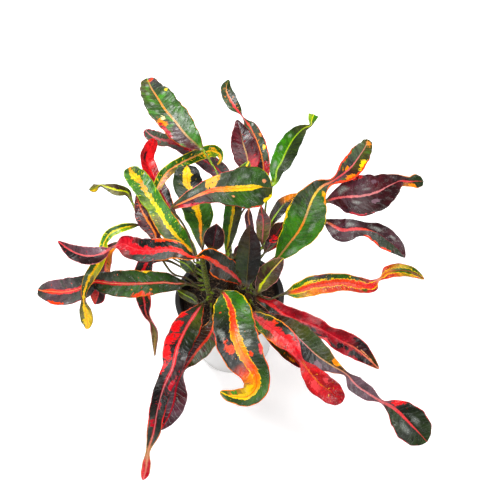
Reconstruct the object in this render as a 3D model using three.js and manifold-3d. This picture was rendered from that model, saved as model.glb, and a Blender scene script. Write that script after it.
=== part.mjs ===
// A croton in a 12 cm nursery pot, hung by its lip in a plain white cover pot.
// Millimetres, +Z up. The origin is the centre of the cover pot's flat base.

import * as THREE from 'three';
import Module from 'manifold-3d';

// Cover pot and nursery pot

const lipRadius = 60;
const potHeight = 94;
const baseRadius = 43.3;
const coverWall = 2.4;
const coverFloor = 3;
const coverFloorBevel = 1;
const coverRimTop = 90.8;
const coverRimInset = 1;
const coverRimBevel = [0.6, 1];
const footRadius = 41.8;
const footStep = 1.2;
const lipSeatGap = 0.4;
const lipThickness = potHeight - coverRimTop - lipSeatGap;
const lipWidth = 5.6;
const lipBevel = 0.8;
const lipUnderBevel = 0.5;
const nurseryWall = 1.6;
const nurseryFloor = 7;
const nurseryFloorThickness = 2;
const nurseryBaseRadius = 39;
const drainHoleCount = 8;
const drainHoleRadius = 3.5;
const drainRingRadius = 27;
const drainHoleSides = 10;
const cutMargin = 1;
const gap = 0.35;
const potSegments = 40;

// Soil

const soilLevel = 80;
const soilBump = 1.6;
const soilDome = 2;
const clodTurns = [0.31, 0.27, 0.19];
const clodShifts = [1.3, 0.6];
const soilRings = 9;
const soilSegments = 30;
const socketFloor = 66;
const socketSides = 12;
const soilClearance = 0.9;

// Stems: the line that each shoot follows, thick at the foot and thin at the tip

const stemFootRadius = 3.2;
const stemTipRadius = 2.4;
const stemTaperFrom = 84;
const stemTaperTo = 190;
const stemSides = 10;
const stemStep = 9;
const stems = {
  left: [
    [-19, -12, 66.4], [-19, -12, 86], [-20, -18, 118], [-21, -21, 150], [-22, -19, 178],
    [-22, -17, 187],
  ],
  right: [
    [21, -9, 66.4], [21, -9, 86], [21, -13, 118], [25, -14, 150], [31, -10, 178], [32, -9, 188],
  ],
  rear: [[2, 18, 66.4], [2, 18, 86], [3, 19, 125], [4, 21, 160], [4, 23, 185]],
};

// Leaves: each path point is [x, y, z, half width, roll in degrees]. A leaf with no roll
// turns its face to the light, and a short stretch with much roll is a twist in the blade.

const light = new THREE.Vector3(0, -0.5, 0.866);
const bladeCells = 4;
const frameReach = 0.2;
const stationSpacing = 11;
const extraStations = 4;
const tipCrowding = 1.25;
const marginHalf = 0.45;
const ribExtraHalf = 0.35;
const stalkExtraHalf = 0.35;
const stalkWidth = 2.5;
const thinnest = 0.45;
const stalkBaseHalfWidth = 1.5;
const stalkHalfWidth = 1.1;
const stalkSeatGap = 0.8;
const stalkLength = 4.2;
const stalkRise = 0.6;
const defaultCup = 0.12;
const defaultWave = 1.2;
const cupPower = 1.4;
const wavePeriod = 45;
const waveShift = 1.3;
const fullWaveWidth = 8;

const leaves = [
  {
    name: 'leaf_rear_broad_green', colour: '#4d7a2b',
    stem: 'rear', height: 183,
    path: [
      [7, 27, 193, 1.2, 0], [3, 33, 207, 1.2, 0], [-1, 45, 232, 1.2, 0], [-8, 58, 240, 1.2, 0],
      [-15, 71, 244, 1.6, 0], [-22, 78, 247, 8, 0], [-31, 88, 250, 13, 0], [-43, 108, 253, 16.5, 5],
      [-54, 127, 254, 17.3, 8], [-62, 147, 253, 15.8, 8], [-70, 169, 249, 12.6, 10],
      [-75, 187, 245, 8, 10], [-77, 194, 243, 4, 10],
    ],
  },
  {
    name: 'leaf_rear_slate', colour: '#5e5560',
    stem: 'rear', height: 173,
    path: [
      [8, 70, 190, 1.2, 0], [5, 79, 193, 6, 0], [-3, 91, 197, 9.5, 0], [-16, 102, 200, 9.5, 10],
      [-33, 119, 201, 8.5, 10], [-51, 138, 198, 8, 5], [-68, 150, 193, 8.3, 0],
      [-80, 163, 189, 6.5, 0], [-86, 175, 186, 3, 0],
    ],
  },
  {
    name: 'leaf_rear_scarlet', colour: '#b3202a',
    stem: 'left', height: 166, cup: 0.2,
    path: [
      [-37, 13, 171, 1.2, 0], [-47, 36, 179, 1.4, 0], [-56, 53, 186, 5, 10], [-64, 69, 190, 8, 15],
      [-70, 84, 194, 7.6, 20], [-77, 99, 198, 8.2, 25], [-80, 112, 201, 7.8, 25],
      [-77, 125, 202, 7.2, 20], [-74, 136, 202, 5.2, 20], [-74, 142, 201, 2.6, 20],
    ],
  },
  {
    name: 'leaf_arched_yellow_edge', colour: '#7f9a2c',
    stem: 'left', height: 170, cup: 0.3,
    path: [
      [-38, 3, 182, 1.2, 0], [-51, 17, 198, 1.2, 0], [-61, 36, 208, 1.5, 0], [-66, 49, 212, 3, 0],
      [-63, 57, 215, 5, 0], [-54, 69, 220, 6, 0], [-40, 74, 226, 6, 10], [-25, 82, 227, 6.2, 15],
      [-15, 89, 225, 6.4, 20], [-7, 95, 221, 6.6, 15], [0, 94, 217, 4.2, 10], [1, 89, 213, 2, 10],
      [-3, 85, 210, 1.2, 10],
    ],
  },
  {
    name: 'leaf_left_yellow_rib', colour: '#5f9a2c',
    stem: 'left', height: 174,
    path: [
      [-27, -16, 182, 1.3, 0], [-35, -9, 190, 7, 0], [-47, 0, 200, 11, 0], [-57, 12, 208, 11, 5],
      [-64, 25, 214, 10, 5], [-73, 40, 218, 10.5, 5], [-82, 59, 218, 11, 0], [-91, 75, 214, 9.3, 0],
      [-96, 89, 210, 4.5, 0],
    ],
  },
  {
    name: 'leaf_left_upper_red_rib', colour: '#5c2a24',
    stem: 'right', height: 128,
    path: [
      [13, -21, 146, 4, 0], [5, -24, 165, 10, 0], [-6, -31, 187, 12.5, 5], [-15, -35, 203, 10, 25],
      [-24, -40, 211, 5, 70], [-32, -40, 215, 6, 30], [-45, -33, 217, 9, 5],
      [-59, -33, 218, 10.5, 0], [-73, -32, 217, 11.5, 0], [-86, -25, 214, 11, 5],
      [-97, -16, 210, 8, 20], [-106, -16, 206, 4, 70], [-116, -20, 203, 8, 25],
      [-127, -21, 201, 9, 10], [-140, -16, 198, 8.4, 5], [-153, -5, 194, 6, 0],
      [-167, 11, 189, 1, 0],
    ],
  },
  {
    name: 'leaf_left_low_red_rib', colour: '#3f5a2b',
    stem: 'left', height: 136,
    path: [
      [-32, -24, 145, 1.2, 0], [-41, -23, 150, 2, 0], [-51, -26, 155, 7, 0], [-62, -26, 158, 10, 0],
      [-77, -28, 161, 12.5, 0], [-97, -28, 162, 14, 0], [-117, -25, 161, 12, 0],
      [-135, -20, 159, 9, -15], [-148, -26, 157, 12.4, 0], [-165, -27, 154, 14, 5],
      [-181, -22, 150, 11.2, 5], [-190, -19, 148, 6.5, 5], [-194, -16, 146, 3.4, 0],
    ],
  },
  {
    name: 'leaf_left_hanging_yellow', colour: '#b9b42c',
    stem: 'left', height: 158.5, cup: 0.2, wave: 0.8,
    path: [
      [-40, -14, 168, 1.1, 0], [-66, 3, 176, 1.1, 0], [-86, 32, 182, 1.3, 0],
      [-95, 25, 189, 3.6, 5], [-104, 19, 193, 5, 10], [-114, 14, 192, 5.2, 15],
      [-120, 6, 188, 4.6, 20], [-121, -4, 184, 5, 5], [-127, -13, 178, 6.3, 5],
      [-135, -24, 172, 5.8, 5], [-141, -34, 164, 3.6, 10], [-143, -40, 157, 2.4, 5],
      [-143, -45, 147, 5.8, 0], [-143, -49, 137, 6.6, 0], [-144, -52, 129, 4, 0],
      [-146, -53, 124, 1.6, 0],
    ],
  },
  {
    name: 'leaf_left_small_olive', colour: '#6f7a30',
    stem: 'left', height: 162.5,
    path: [
      [-40, -8, 173, 1.1, 0], [-65, 15, 180, 1.1, 0], [-86, 36, 187, 1.1, 0],
      [-94, 56, 191, 1.3, 0], [-99, 64, 199, 4, 0], [-108, 63, 204, 6, 0], [-120, 67, 206, 3, 10],
      [-126, 70, 205, 1.5, 20], [-132, 69, 203, 4.5, 0], [-139, 70, 200, 1, 0],
    ],
  },
  {
    name: 'leaf_centre_top', colour: '#38602c',
    stem: 'left', height: 178.5, cup: 0.1,
    path: [
      [-29, -20, 195, 1.2, 0], [-33, -16, 222, 1.2, 0], [-40, -13, 241, 1.3, 0],
      [-45, -11, 250, 1.6, 0], [-41, -12, 254, 3, 0], [-30, -10, 258, 6.5, 0], [-17, -6, 261, 9, 0],
      [-3, -2, 262, 13, 0], [12, 0, 260, 17, 5], [27, 5, 255, 20, 8], [39, 10, 250, 17.8, 8],
      [46, 13, 245, 11.5, 8], [50, 15, 242, 5.5, 5],
    ],
  },
  {
    name: 'leaf_left_maroon', colour: '#5b2b2a',
    stem: 'left', height: 143,
    path: [
      [-41, -23, 160, 1.2, 0], [-52, -23, 167, 1.3, 0], [-61, -14, 176, 1.4, 0],
      [-66, 0, 188, 3, 0], [-70, 13, 195, 8, 0], [-77, 25, 199, 10, 0], [-83, 39, 200, 7, 0],
      [-89, 60, 198, 1, 0],
    ],
  },
  {
    name: 'leaf_left_drooping_dark', colour: '#2c2a1c',
    stem: 'left', height: 148,
    path: [
      [-43, -9, 157, 1.2, 0], [-62, 3, 158, 2, 0], [-78, 4, 160, 7, 0], [-86, -2, 150, 9, 0],
      [-89, -13, 136, 8, 0], [-88, -24, 124, 7.5, 0], [-87, -32, 112, 3.5, 10],
      [-83, -37, 106, 2.2, 20], [-80, -45, 98, 4.5, 20], [-81, -54, 88, 2.5, 0],
      [-82, -62, 78, 0.8, 0],
    ],
  },
  {
    name: 'leaf_left_hanging_purple', colour: '#6a2f2a',
    stem: 'left', height: 154.5,
    path: [
      [-43, -2, 160, 1.1, 0], [-77, 11, 170, 1.2, 0], [-105, 15, 176, 2, 0], [-117, 9, 174, 5, 0],
      [-123, 2, 162, 6, 0], [-127, -2, 148, 6, 0], [-134, -8, 134, 8.5, 0], [-138, -14, 124, 8, 0],
      [-142, -17, 116, 1.5, 0],
    ],
  },
  {
    name: 'leaf_right_upper_green', colour: '#3f8a24',
    stem: 'right', height: 176,
    path: [
      [42, 0, 187, 1.3, 0], [42, 7, 203, 1.3, 0], [44, 14, 223, 1.3, 0], [48, 19, 236, 1.5, 0],
      [54, 25, 244, 4, 0], [56, 32, 249, 7.4, 0], [61, 39, 253, 10, 0], [66, 49, 256, 10.8, 0],
      [73, 63, 257, 9.6, 5], [81, 77, 255, 7, 5], [88, 87, 252, 3.6, 10], [94, 93, 249, 1.6, 30],
      [97, 105, 246, 4, 10], [100, 115, 244, 5.8, 0],
    ],
  },
  {
    name: 'leaf_upright_yellow_rib', colour: '#2f5523',
    stem: 'left', height: 183, cup: 0.05,
    path: [
      [-21, -13, 190, 1.4, 0], [-22, -5, 196, 5, 0], [-22, 5, 203, 10, 0], [-23, 15, 214, 14.5, 0],
      [-28, 29, 224, 14, 5], [-32, 41, 233, 14.5, 5], [-32, 47, 238, 12.4, 5], [-32, 53, 240, 8, 5],
      [-32, 55, 241, 4, 5],
    ],
  },
  {
    name: 'leaf_folded_dark', colour: '#1f2418',
    stem: 'left', height: 187, cup: 0.45, wave: 0.6,
    path: [
      [-12, -21, 196, 1.3, 0], [-10, -18, 201, 7, 0], [-8, -14, 208, 10.5, 0], [-6, -9, 214, 8, 0],
      [-5, -5, 219, 1, 0],
    ],
  },
  {
    name: 'leaf_upright_narrow', colour: '#4a6a2a',
    stem: 'rear', height: 146,
    path: [
      [1, 5, 158, 1.4, 0], [3, 7, 170, 3.5, 0], [6, 12, 186, 7, 0], [10, 17, 204, 8.5, 0],
      [14, 24, 222, 9, 0], [20, 35, 234, 8, 0], [25, 45, 239, 6, 0], [30, 55, 241, 1.5, 0],
    ],
  },
  {
    name: 'leaf_rear_twisted', colour: '#4a5a38',
    stem: 'rear', height: 167,
    path: [
      [20, 43, 181, 1.2, 0], [34, 56, 191, 1.3, 0], [42, 66, 198, 3.5, 0], [45, 81, 202, 6.6, 0],
      [44, 98, 207, 7.8, 0], [40, 115, 213, 8.5, 0], [34, 130, 219, 7, 10], [26, 144, 223, 3, 60],
      [19, 156, 226, 6.5, 15], [13, 171, 228, 7.3, 5], [10, 188, 229, 5.8, 0],
      [13, 202, 229, 1.6, 0],
    ],
  },
  {
    name: 'leaf_rear_maroon', colour: '#5a1f22',
    stem: 'rear', height: 179,
    path: [
      [16, 43, 199, 1.2, 0], [27, 62, 208, 4, 0], [29, 75, 214, 10, 0], [28, 87, 220, 14, 0],
      [25, 99, 226, 13, 0], [23, 113, 230, 8.5, 0], [20, 129, 232, 1.5, 0],
    ],
  },
  {
    name: 'leaf_right_broad_green', colour: '#4f8a30',
    stem: 'right', height: 152,
    path: [
      [36, -21, 153, 1.4, 0], [50, -12, 164, 2.5, 0], [60, -7, 175, 9.5, 0], [66, -5, 184, 12.5, 0],
      [74, -1, 194, 17, 0], [80, 4, 203, 20, 0], [85, 13, 210, 19, 0], [90, 22, 216, 15, 0],
      [99, 33, 220, 9, 10], [111, 39, 222, 4, 50], [122, 48, 221, 8.5, 15], [133, 60, 219, 11.4, 5],
      [144, 78, 216, 10.8, 0], [154, 97, 212, 7.7, 0], [159, 111, 208, 4, 0],
    ],
  },
  {
    name: 'leaf_right_maroon', colour: '#5a2e34',
    stem: 'right', height: 165,
    path: [
      [62, 13, 173, 1.2, 0], [90, 32, 183, 1.3, 0], [108, 45, 187, 2.5, 0], [119, 45, 191, 10, 0],
      [129, 43, 194, 17.5, 0], [144, 41, 196, 21.5, 0], [159, 45, 196, 19.2, 0],
      [176, 57, 193, 13, 5], [190, 65, 190, 6, 30], [197, 65, 188, 5.5, 10], [206, 68, 185, 7.6, 0],
      [214, 70, 182, 5, 0],
    ],
  },
  {
    name: 'leaf_right_low_maroon', colour: '#573036',
    stem: 'right', height: 147,
    path: [
      [67, 13, 156, 1.2, 0], [92, 29, 163, 1.3, 0], [106, 34, 167, 3, 0], [114, 25, 170, 8.6, 0],
      [123, 17, 172, 12.8, 0], [135, 17, 173, 9.4, 0], [146, 15, 173, 7.4, 5],
      [157, 11, 171, 10.4, 0], [167, 5, 166, 11, 0], [177, -2, 160, 7.5, 0], [184, -9, 153, 1.2, 0],
    ],
  },
  {
    name: 'leaf_right_orange', colour: '#c4622a',
    stem: 'right', height: 127,
    path: [
      [41, -35, 131, 1.3, 0], [59, -31, 134, 2, 0], [70, -32, 138, 7.6, 0], [89, -29, 142, 10.3, 0],
      [105, -29, 144, 10, 0], [120, -29, 144, 8.6, 0], [135, -32, 142, 8, 0],
      [147, -32, 139, 6.6, 10], [157, -22, 137, 3.5, 60], [166, -14, 136, 6.5, 10],
      [178, -10, 134, 7.2, 0], [190, -10, 131, 6.2, 0], [199, -12, 127, 4.2, 0],
      [207, -15, 122, 1.2, 0],
    ],
  },
  {
    name: 'leaf_front_crimson', colour: '#8a1a24',
    stem: 'right', height: 120,
    path: [
      [30, -27, 123, 3, 0], [43, -35, 122, 7, 0], [56, -47, 120, 9.5, 0], [72, -56, 119, 10.5, 0],
      [88, -63, 117, 9.5, 0], [99, -69, 114, 8, 20], [112, -77, 110, 11.4, 5],
      [126, -83, 104, 11.2, 0], [137, -91, 98, 7.4, 0], [149, -100, 89, 1.2, 0],
    ],
  },
  {
    name: 'leaf_front_long_olive', colour: '#3c3f24',
    stem: 'right', height: 104,
    path: [
      [31, -36, 114, 2, 0], [43, -60, 129, 7, 0], [58, -77, 139, 11, 0], [71, -97, 143, 14.5, 0],
      [84, -113, 142, 13, 0], [97, -122, 138, 7, 0], [109, -129, 134, 2.8, 30],
      [117, -138, 129, 8, 0], [128, -144, 122, 7, 0], [141, -150, 115, 2.4, 40],
      [151, -154, 110, 8, 0], [159, -159, 104, 14.4, 0], [168, -166, 96, 17, 0],
      [177, -173, 88, 14, 0], [183, -178, 82, 5.5, 0],
    ],
  },
  {
    name: 'leaf_front_red', colour: '#b0302c',
    stem: 'right', height: 97,
    path: [
      [23, -40, 119, 2, 0], [29, -60, 134, 7, 0], [40, -78, 145, 10.5, 0], [50, -92, 150, 11, 0],
      [59, -103, 151, 8.3, 0], [67, -120, 149, 3.2, 40], [74, -130, 144, 8.6, 10],
      [82, -139, 138, 11.4, 5], [92, -144, 130, 11, 0], [100, -149, 123, 7.4, 0],
      [103, -151, 120, 3.4, 0],
    ],
  },
  {
    name: 'leaf_front_under_brown', colour: '#4a241c',
    stem: 'right', height: 90,
    path: [
      [27, -41, 102, 1.6, 0], [37, -59, 109, 5, 0], [47, -74, 112, 7, 0], [57, -86, 110, 7.5, 0],
      [65, -96, 107, 5, 0], [70, -103, 105, 1.2, 0],
    ],
  },
  {
    name: 'leaf_front_hooked', colour: '#3f6a30',
    stem: 'left', height: 131, cup: 0.15,
    path: [
      [-15, -24, 139, 1.3, 0], [-6, -33, 147, 2, 0], [-1, -44, 152, 11, 0], [4, -65, 158, 18, 0],
      [6, -87, 162, 20.2, 0], [10, -108, 162, 20, 0], [16, -121, 158, 17.8, 0],
      [23, -132, 152, 13.6, 0], [24, -141, 144, 12, 0], [16, -147, 136, 9.6, 0],
      [5, -144, 130, 7.2, 0], [-4, -139, 125, 5, 0], [-11, -133, 122, 1.8, 0],
    ],
  },
  {
    name: 'leaf_front_left_long', colour: '#8a2a2c',
    stem: 'left', height: 124,
    path: [
      [-26, -35, 131, 2, 0], [-33, -51, 137, 8, 0], [-42, -74, 144, 14, 0],
      [-50, -98, 147, 13.4, 0], [-54, -116, 144, 10, 0], [-63, -133, 137, 8.4, 0],
      [-70, -150, 125, 7.6, 0], [-75, -166, 112, 6.5, 5], [-81, -179, 100, 2.6, 30],
      [-83, -188, 94, 4.3, 10], [-85, -194, 88, 4.4, 0], [-88, -199, 82, 1.4, 0],
    ],
  },
  {
    name: 'leaf_front_left_purple', colour: '#4a3030',
    stem: 'left', height: 108,
    path: [
      [-19, -37, 117, 1.4, 0], [-16, -57, 125, 6, 0], [-21, -75, 129, 11, 0],
      [-30, -88, 130, 11, 0], [-39, -100, 128, 7, 0], [-46, -110, 125, 3, 50],
      [-53, -122, 120, 9.8, 5], [-56, -133, 112, 12.2, 0], [-62, -145, 103, 8.8, 0],
      [-71, -155, 94, 1.5, 0],
    ],
  },
  {
    name: 'leaf_small_low_olive', colour: '#5a5a30',
    stem: 'left', height: 118,
    path: [
      [-30, -30, 123, 1.5, 0], [-39, -25, 128, 5, 0], [-46, -22, 131, 4.5, 0],
      [-53, -16, 131, 1, 0],
    ],
  },
  {
    name: 'leaf_small_left_green', colour: '#4f7a2c',
    stem: 'left', height: 151,
    path: [
      [-30, -21, 158, 1.2, 0], [-33, -21, 166, 2, 0], [-35, -20, 171, 6, 0], [-40, -16, 174, 6, 0],
      [-46, -13, 175, 1, 0],
    ],
  },
  {
    name: 'leaf_right_small_orange', colour: '#7a5a2c',
    stem: 'right', height: 170,
    path: [
      [45, 7, 188, 1.3, 0], [48, 11, 197, 3.5, 0], [54, 18, 202, 6, 0], [62, 27, 205, 7.2, 0],
      [71, 34, 206, 5.5, 0], [80, 40, 206, 1, 0],
    ],
  },
  {
    name: 'leaf_right_small_dark', colour: '#4a1f1c',
    stem: 'right', height: 158,
    path: [
      [39, -2, 164, 1.3, 0], [45, 6, 167, 6, 0], [51, 15, 169, 10.5, 0], [58, 28, 167, 8, 0],
      [64, 40, 164, 1.2, 0],
    ],
  },
  {
    name: 'leaf_young_beige', colour: '#8a7a50',
    stem: 'right', height: 134, cup: 0.2,
    path: [
      [30, -38, 147, 1.8, 0], [35, -36, 158, 7, 0], [44, -31, 170, 10.5, 0], [52, -27, 178, 7, 0],
      [58, -24, 183, 1.2, 0],
    ],
  },
  {
    name: 'leaf_upright_dark', colour: '#2a3a20',
    stem: 'right', height: 139, cup: 0.3,
    path: [
      [20, -36, 157, 2, 0], [21, -35, 172, 8, 0], [23, -29, 187, 12, 0], [25, -23, 201, 11.5, 0],
      [26, -17, 213, 7.5, 0], [27, -11, 221, 1.2, 0],
    ],
  },
  {
    name: 'leaf_small_centre_grey', colour: '#5a4a48',
    stem: 'rear', height: 136,
    path: [
      [8, 6, 151, 1.4, 0], [14, 8, 160, 5, 0], [19, 9, 166, 4, 0], [23, 13, 171, 1, 0],
    ],
  },
  {
    name: 'leaf_young_purple', colour: '#6a4a48',
    stem: 'right', height: 187, cup: 0.3,
    path: [
      [27, -8, 198, 1.6, 0], [27, -3, 207, 4, 0], [26, 3, 217, 4, 0], [27, 7, 225, 1, 0],
    ],
  },
  {
    name: 'leaf_young_pink_veins', colour: '#8a8a58',
    stem: 'right', height: 183, cup: 0.25,
    path: [
      [38, -11, 193, 2, 0], [39, -7, 202, 6.5, 0], [40, -1, 214, 7, 0], [39, 5, 222, 3, 0],
      [39, 8, 226, 1, 0],
    ],
  },
];


// Colour and roughness of the pieces other than leaves

const coverFinish = ['#e9e9e7', 0.4];
const nurseryFinish = ['#1b1c1c', 0.45];
const soilFinish = ['#3a2a20', 0.95];
const stemFinish = ['#7f8a45', 0.6];
const leafRoughness = 0.35;

// Small helpers on numbers and points

const point = (row) => new THREE.Vector3(row[0], row[1], row[2]);

function meshGeometry(vertices, triangles) {
  const geometry = new THREE.BufferGeometry();
  const flat = vertices.flatMap((v) => [v.x, v.y, v.z]);
  geometry.setAttribute('position', new THREE.Float32BufferAttribute(flat, 3));
  geometry.setIndex(triangles);
  return geometry;
}

// Two faces of a grid cell or wall, both given as corner indices in order
function quad(triangles, a, b, c, d) {
  triangles.push(a, b, c, a, c, d);
}

// Chord length from the first point to each point of a path
function stationsAlong(points) {
  const lengths = [0];
  for (let i = 1; i < points.length; i += 1) {
    lengths.push(lengths[i - 1] + points[i].distanceTo(points[i - 1]));
  }
  return lengths;
}

function segmentAt(lengths, s) {
  let i = 0;
  while (i < lengths.length - 2 && lengths[i + 1] < s) i += 1;
  return i;
}

// Cubic through values with given slopes
function cubic(lengths, values, slopes, s) {
  const i = segmentAt(lengths, s);
  const h = lengths[i + 1] - lengths[i];
  const t = (s - lengths[i]) / h;
  const a = 2 * t ** 3 - 3 * t ** 2 + 1;
  const b = t ** 3 - 2 * t ** 2 + t;
  const c = t ** 3 - t ** 2;
  return a * values[i] + b * h * slopes[i] + (1 - a) * values[i + 1] + c * h * slopes[i + 1];
}

function chordSlopes(lengths, values) {
  return values.slice(1).map((v, i) => (v - values[i]) / (lengths[i + 1] - lengths[i]));
}

// Slopes of a smooth curve through points: the chords on each side, weighed by distance
function smoothSlopes(lengths, values) {
  const chords = chordSlopes(lengths, values);
  return values.map((_, i) => {
    if (i === 0) return chords[0];
    if (i === values.length - 1) return chords[i - 1];
    const before = lengths[i] - lengths[i - 1];
    const after = lengths[i + 1] - lengths[i];
    return (chords[i - 1] * after + chords[i] * before) / (before + after);
  });
}

// Slopes that never overshoot the values, for widths and rolls
function boundedSlopes(lengths, values) {
  const chords = chordSlopes(lengths, values);
  return values.map((_, i) => {
    if (i === 0) return chords[0];
    if (i === values.length - 1) return chords[i - 1];
    const product = chords[i - 1] * chords[i];
    return product <= 0 ? 0 : (2 * product) / (chords[i - 1] + chords[i]);
  });
}

// A curve through path rows: where it is, and its width and roll, at a distance along it
function pathCurve(rows) {
  const lengths = stationsAlong(rows.map(point));
  const columns = rows[0].map((_, k) => rows.map((row) => row[k]));
  const slopes = columns.map((values, k) => (
    k < 3 ? smoothSlopes(lengths, values) : boundedSlopes(lengths, values)
  ));
  const total = lengths[lengths.length - 1];
  return { total, at: (s) => columns.map((values, k) => cubic(lengths, values, slopes[k], s)) };
}

// Stems

function stemRadius(height) {
  const t = (height - stemTaperFrom) / (stemTaperTo - stemTaperFrom);
  return THREE.MathUtils.lerp(stemFootRadius, stemTipRadius, THREE.MathUtils.clamp(t, 0, 1));
}

// The stem's centre at a height, on the straight line between its path points
function stemCentre(name, height) {
  const rows = stems[name];
  let i = 0;
  while (i < rows.length - 2 && rows[i + 1][2] < height) i += 1;
  const t = (height - rows[i][2]) / (rows[i + 1][2] - rows[i][2]);
  return point(rows[i]).lerp(point(rows[i + 1]), t);
}

function stemGeometry(name) {
  const rows = stems[name];
  const foot = rows[0][2];
  const tip = rows[rows.length - 1][2];
  const count = Math.round((tip - foot) / stemStep);
  const vertices = [];
  const triangles = [];
  for (let i = 0; i <= count; i += 1) {
    const height = THREE.MathUtils.lerp(foot, tip, i / count);
    const centre = stemCentre(name, height);
    const radius = stemRadius(height);
    for (let k = 0; k < stemSides; k += 1) {
      const angle = (2 * Math.PI * k) / stemSides;
      const offset = new THREE.Vector3(Math.cos(angle) * radius, Math.sin(angle) * radius, 0);
      vertices.push(centre.clone().add(offset));
    }
  }
  const footCentre = vertices.push(point(rows[0])) - 1;
  const tipCentre = vertices.push(point(rows[rows.length - 1])) - 1;
  for (let k = 0; k < stemSides; k += 1) {
    const next = (k + 1) % stemSides;
    for (let i = 0; i < count; i += 1) {
      const lower = i * stemSides;
      const upper = lower + stemSides;
      quad(triangles, lower + k, lower + next, upper + next, upper + k);
    }
    triangles.push(footCentre, next, k);
    triangles.push(tipCentre, count * stemSides + k, count * stemSides + next);
  }
  return meshGeometry(vertices, triangles);
}

// Leaves

// A stalk leaves its stem square to it, with a small gap, and then turns to the path
function leafRows(leaf) {
  const centre = stemCentre(leaf.stem, leaf.height);
  const away = point(leaf.path[0]).sub(centre).setZ(0).normalize();
  const reach = stemRadius(leaf.height);
  const start = centre.clone().addScaledVector(away, reach + stalkSeatGap);
  const turn = centre.clone().addScaledVector(away, reach + stalkLength);
  return [
    [start.x, start.y, start.z, stalkBaseHalfWidth, 0],
    [turn.x, turn.y, turn.z + stalkRise, stalkHalfWidth, 0],
    ...leaf.path,
  ];
}

// The blade's centre, its way across and its normal, at a distance along it
function bladeFrame(curve, s) {
  const before = point(curve.at(Math.max(0, s - frameReach)));
  const after = point(curve.at(Math.min(curve.total, s + frameReach)));
  const along = after.sub(before).normalize();
  const across = along.clone().cross(light).normalize();
  const row = curve.at(s);
  const roll = THREE.MathUtils.degToRad(row[4]);
  across.applyAxisAngle(along, roll);
  const normal = across.clone().cross(along);
  return { centre: point(row), across, normal, halfWidth: Math.max(row[3], thinnest) };
}

// How far the blade's middle surface stands off its flat section, at c from -1 to 1 across
function bladeLift(leaf, halfWidth, s, c) {
  const cup = (leaf.cup ?? defaultCup) * halfWidth * Math.abs(c) ** cupPower;
  const phase = (2 * Math.PI * s) / wavePeriod + (c > 0 ? waveShift : 0);
  const size = (leaf.wave ?? defaultWave) * Math.min(1, halfWidth / fullWaveWidth);
  return cup + size * c * c * Math.sin(phase);
}

function bladeHalfThickness(halfWidth, c) {
  const stalk = halfWidth < stalkWidth ? stalkExtraHalf : 0;
  return marginHalf + ribExtraHalf * (1 - Math.abs(c)) + stalk;
}

function leafGeometry(leaf) {
  const curve = pathCurve(leafRows(leaf));
  const count = Math.round(curve.total / stationSpacing) + extraStations;
  const row = bladeCells + 1;
  const top = [];
  const bottom = [];
  for (let i = 0; i < count; i += 1) {
    const s = curve.total * (1 - (1 - i / (count - 1)) ** tipCrowding);
    const frame = bladeFrame(curve, s);
    for (let j = 0; j < row; j += 1) {
      const c = (2 * j) / bladeCells - 1;
      const middle = frame.centre.clone().addScaledVector(frame.across, c * frame.halfWidth);
      middle.addScaledVector(frame.normal, bladeLift(leaf, frame.halfWidth, s, c));
      const half = bladeHalfThickness(frame.halfWidth, c);
      top.push(middle.clone().addScaledVector(frame.normal, half));
      bottom.push(middle.clone().addScaledVector(frame.normal, -half));
    }
  }
  return meshGeometry([...top, ...bottom], slabTriangles(count, row));
}

// Triangles of a slab whose top and bottom grids are split alike, with its edges and ends
function slabTriangles(count, row) {
  const triangles = [];
  const under = count * row;
  for (let i = 0; i < count - 1; i += 1) {
    for (let j = 0; j < row - 1; j += 1) {
      const a = i * row + j;
      quad(triangles, a, a + 1, a + row + 1, a + row);
      triangles.push(under + a, under + a + row + 1, under + a + 1);
      triangles.push(under + a, under + a + row, under + a + row + 1);
    }
    const first = i * row;
    quad(triangles, first, first + row, under + first + row, under + first);
    const last = first + row - 1;
    quad(triangles, under + last, under + last + row, last + row, last);
  }
  const end = (count - 1) * row;
  for (let j = 0; j < row - 1; j += 1) {
    quad(triangles, j, under + j, under + j + 1, j + 1);
    quad(triangles, end + j + 1, under + end + j + 1, under + end + j, end + j);
  }
  return triangles;
}

// Solids joined and cut as manifolds

const wasm = await Module();
wasm.setup();

function solidOf(geometry) {
  const vertProperties = new Float32Array(geometry.attributes.position.array);
  const triVerts = new Uint32Array(geometry.index.array);
  return new wasm.Manifold(new wasm.Mesh({ numProp: 3, vertProperties, triVerts }));
}

function geometryOf(solid) {
  const mesh = solid.getMesh();
  const geometry = new THREE.BufferGeometry();
  geometry.setAttribute('position', new THREE.BufferAttribute(mesh.vertProperties, 3));
  geometry.setIndex(new THREE.BufferAttribute(mesh.triVerts, 1));
  return geometry;
}

// A solid of revolution about Z. The profile is [radius, height] points, ordered with the
// solid on the left, and it starts and ends on the axis.
function turned(profile, segments, offset = () => 0) {
  const vertices = [];
  const triangles = [];
  const rings = profile.map(([radius, height]) => {
    if (radius === 0) return [vertices.push(new THREE.Vector3(0, 0, height)) - 1];
    return Array.from({ length: segments }, (_, k) => {
      const angle = (2 * Math.PI * k) / segments;
      const x = Math.cos(angle) * radius;
      const y = Math.sin(angle) * radius;
      return vertices.push(new THREE.Vector3(x, y, height + offset(radius, angle, height))) - 1;
    });
  });
  for (let i = 0; i < rings.length - 1; i += 1) {
    const lower = rings[i];
    const upper = rings[i + 1];
    for (let k = 0; k < segments; k += 1) {
      const next = (k + 1) % segments;
      if (lower.length === 1) triangles.push(lower[0], upper[next], upper[k]);
      else if (upper.length === 1) triangles.push(lower[k], lower[next], upper[0]);
      else quad(triangles, lower[k], lower[next], upper[next], upper[k]);
    }
  }
  return meshGeometry(vertices, triangles);
}

function cylinder(radius, bottom, top, x, y, segments) {
  const profile = [[0, bottom], [radius, bottom], [radius, top], [0, top]];
  const geometry = turned(profile, segments);
  geometry.translate(x, y, 0);
  return solidOf(geometry);
}

// Pots

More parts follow.
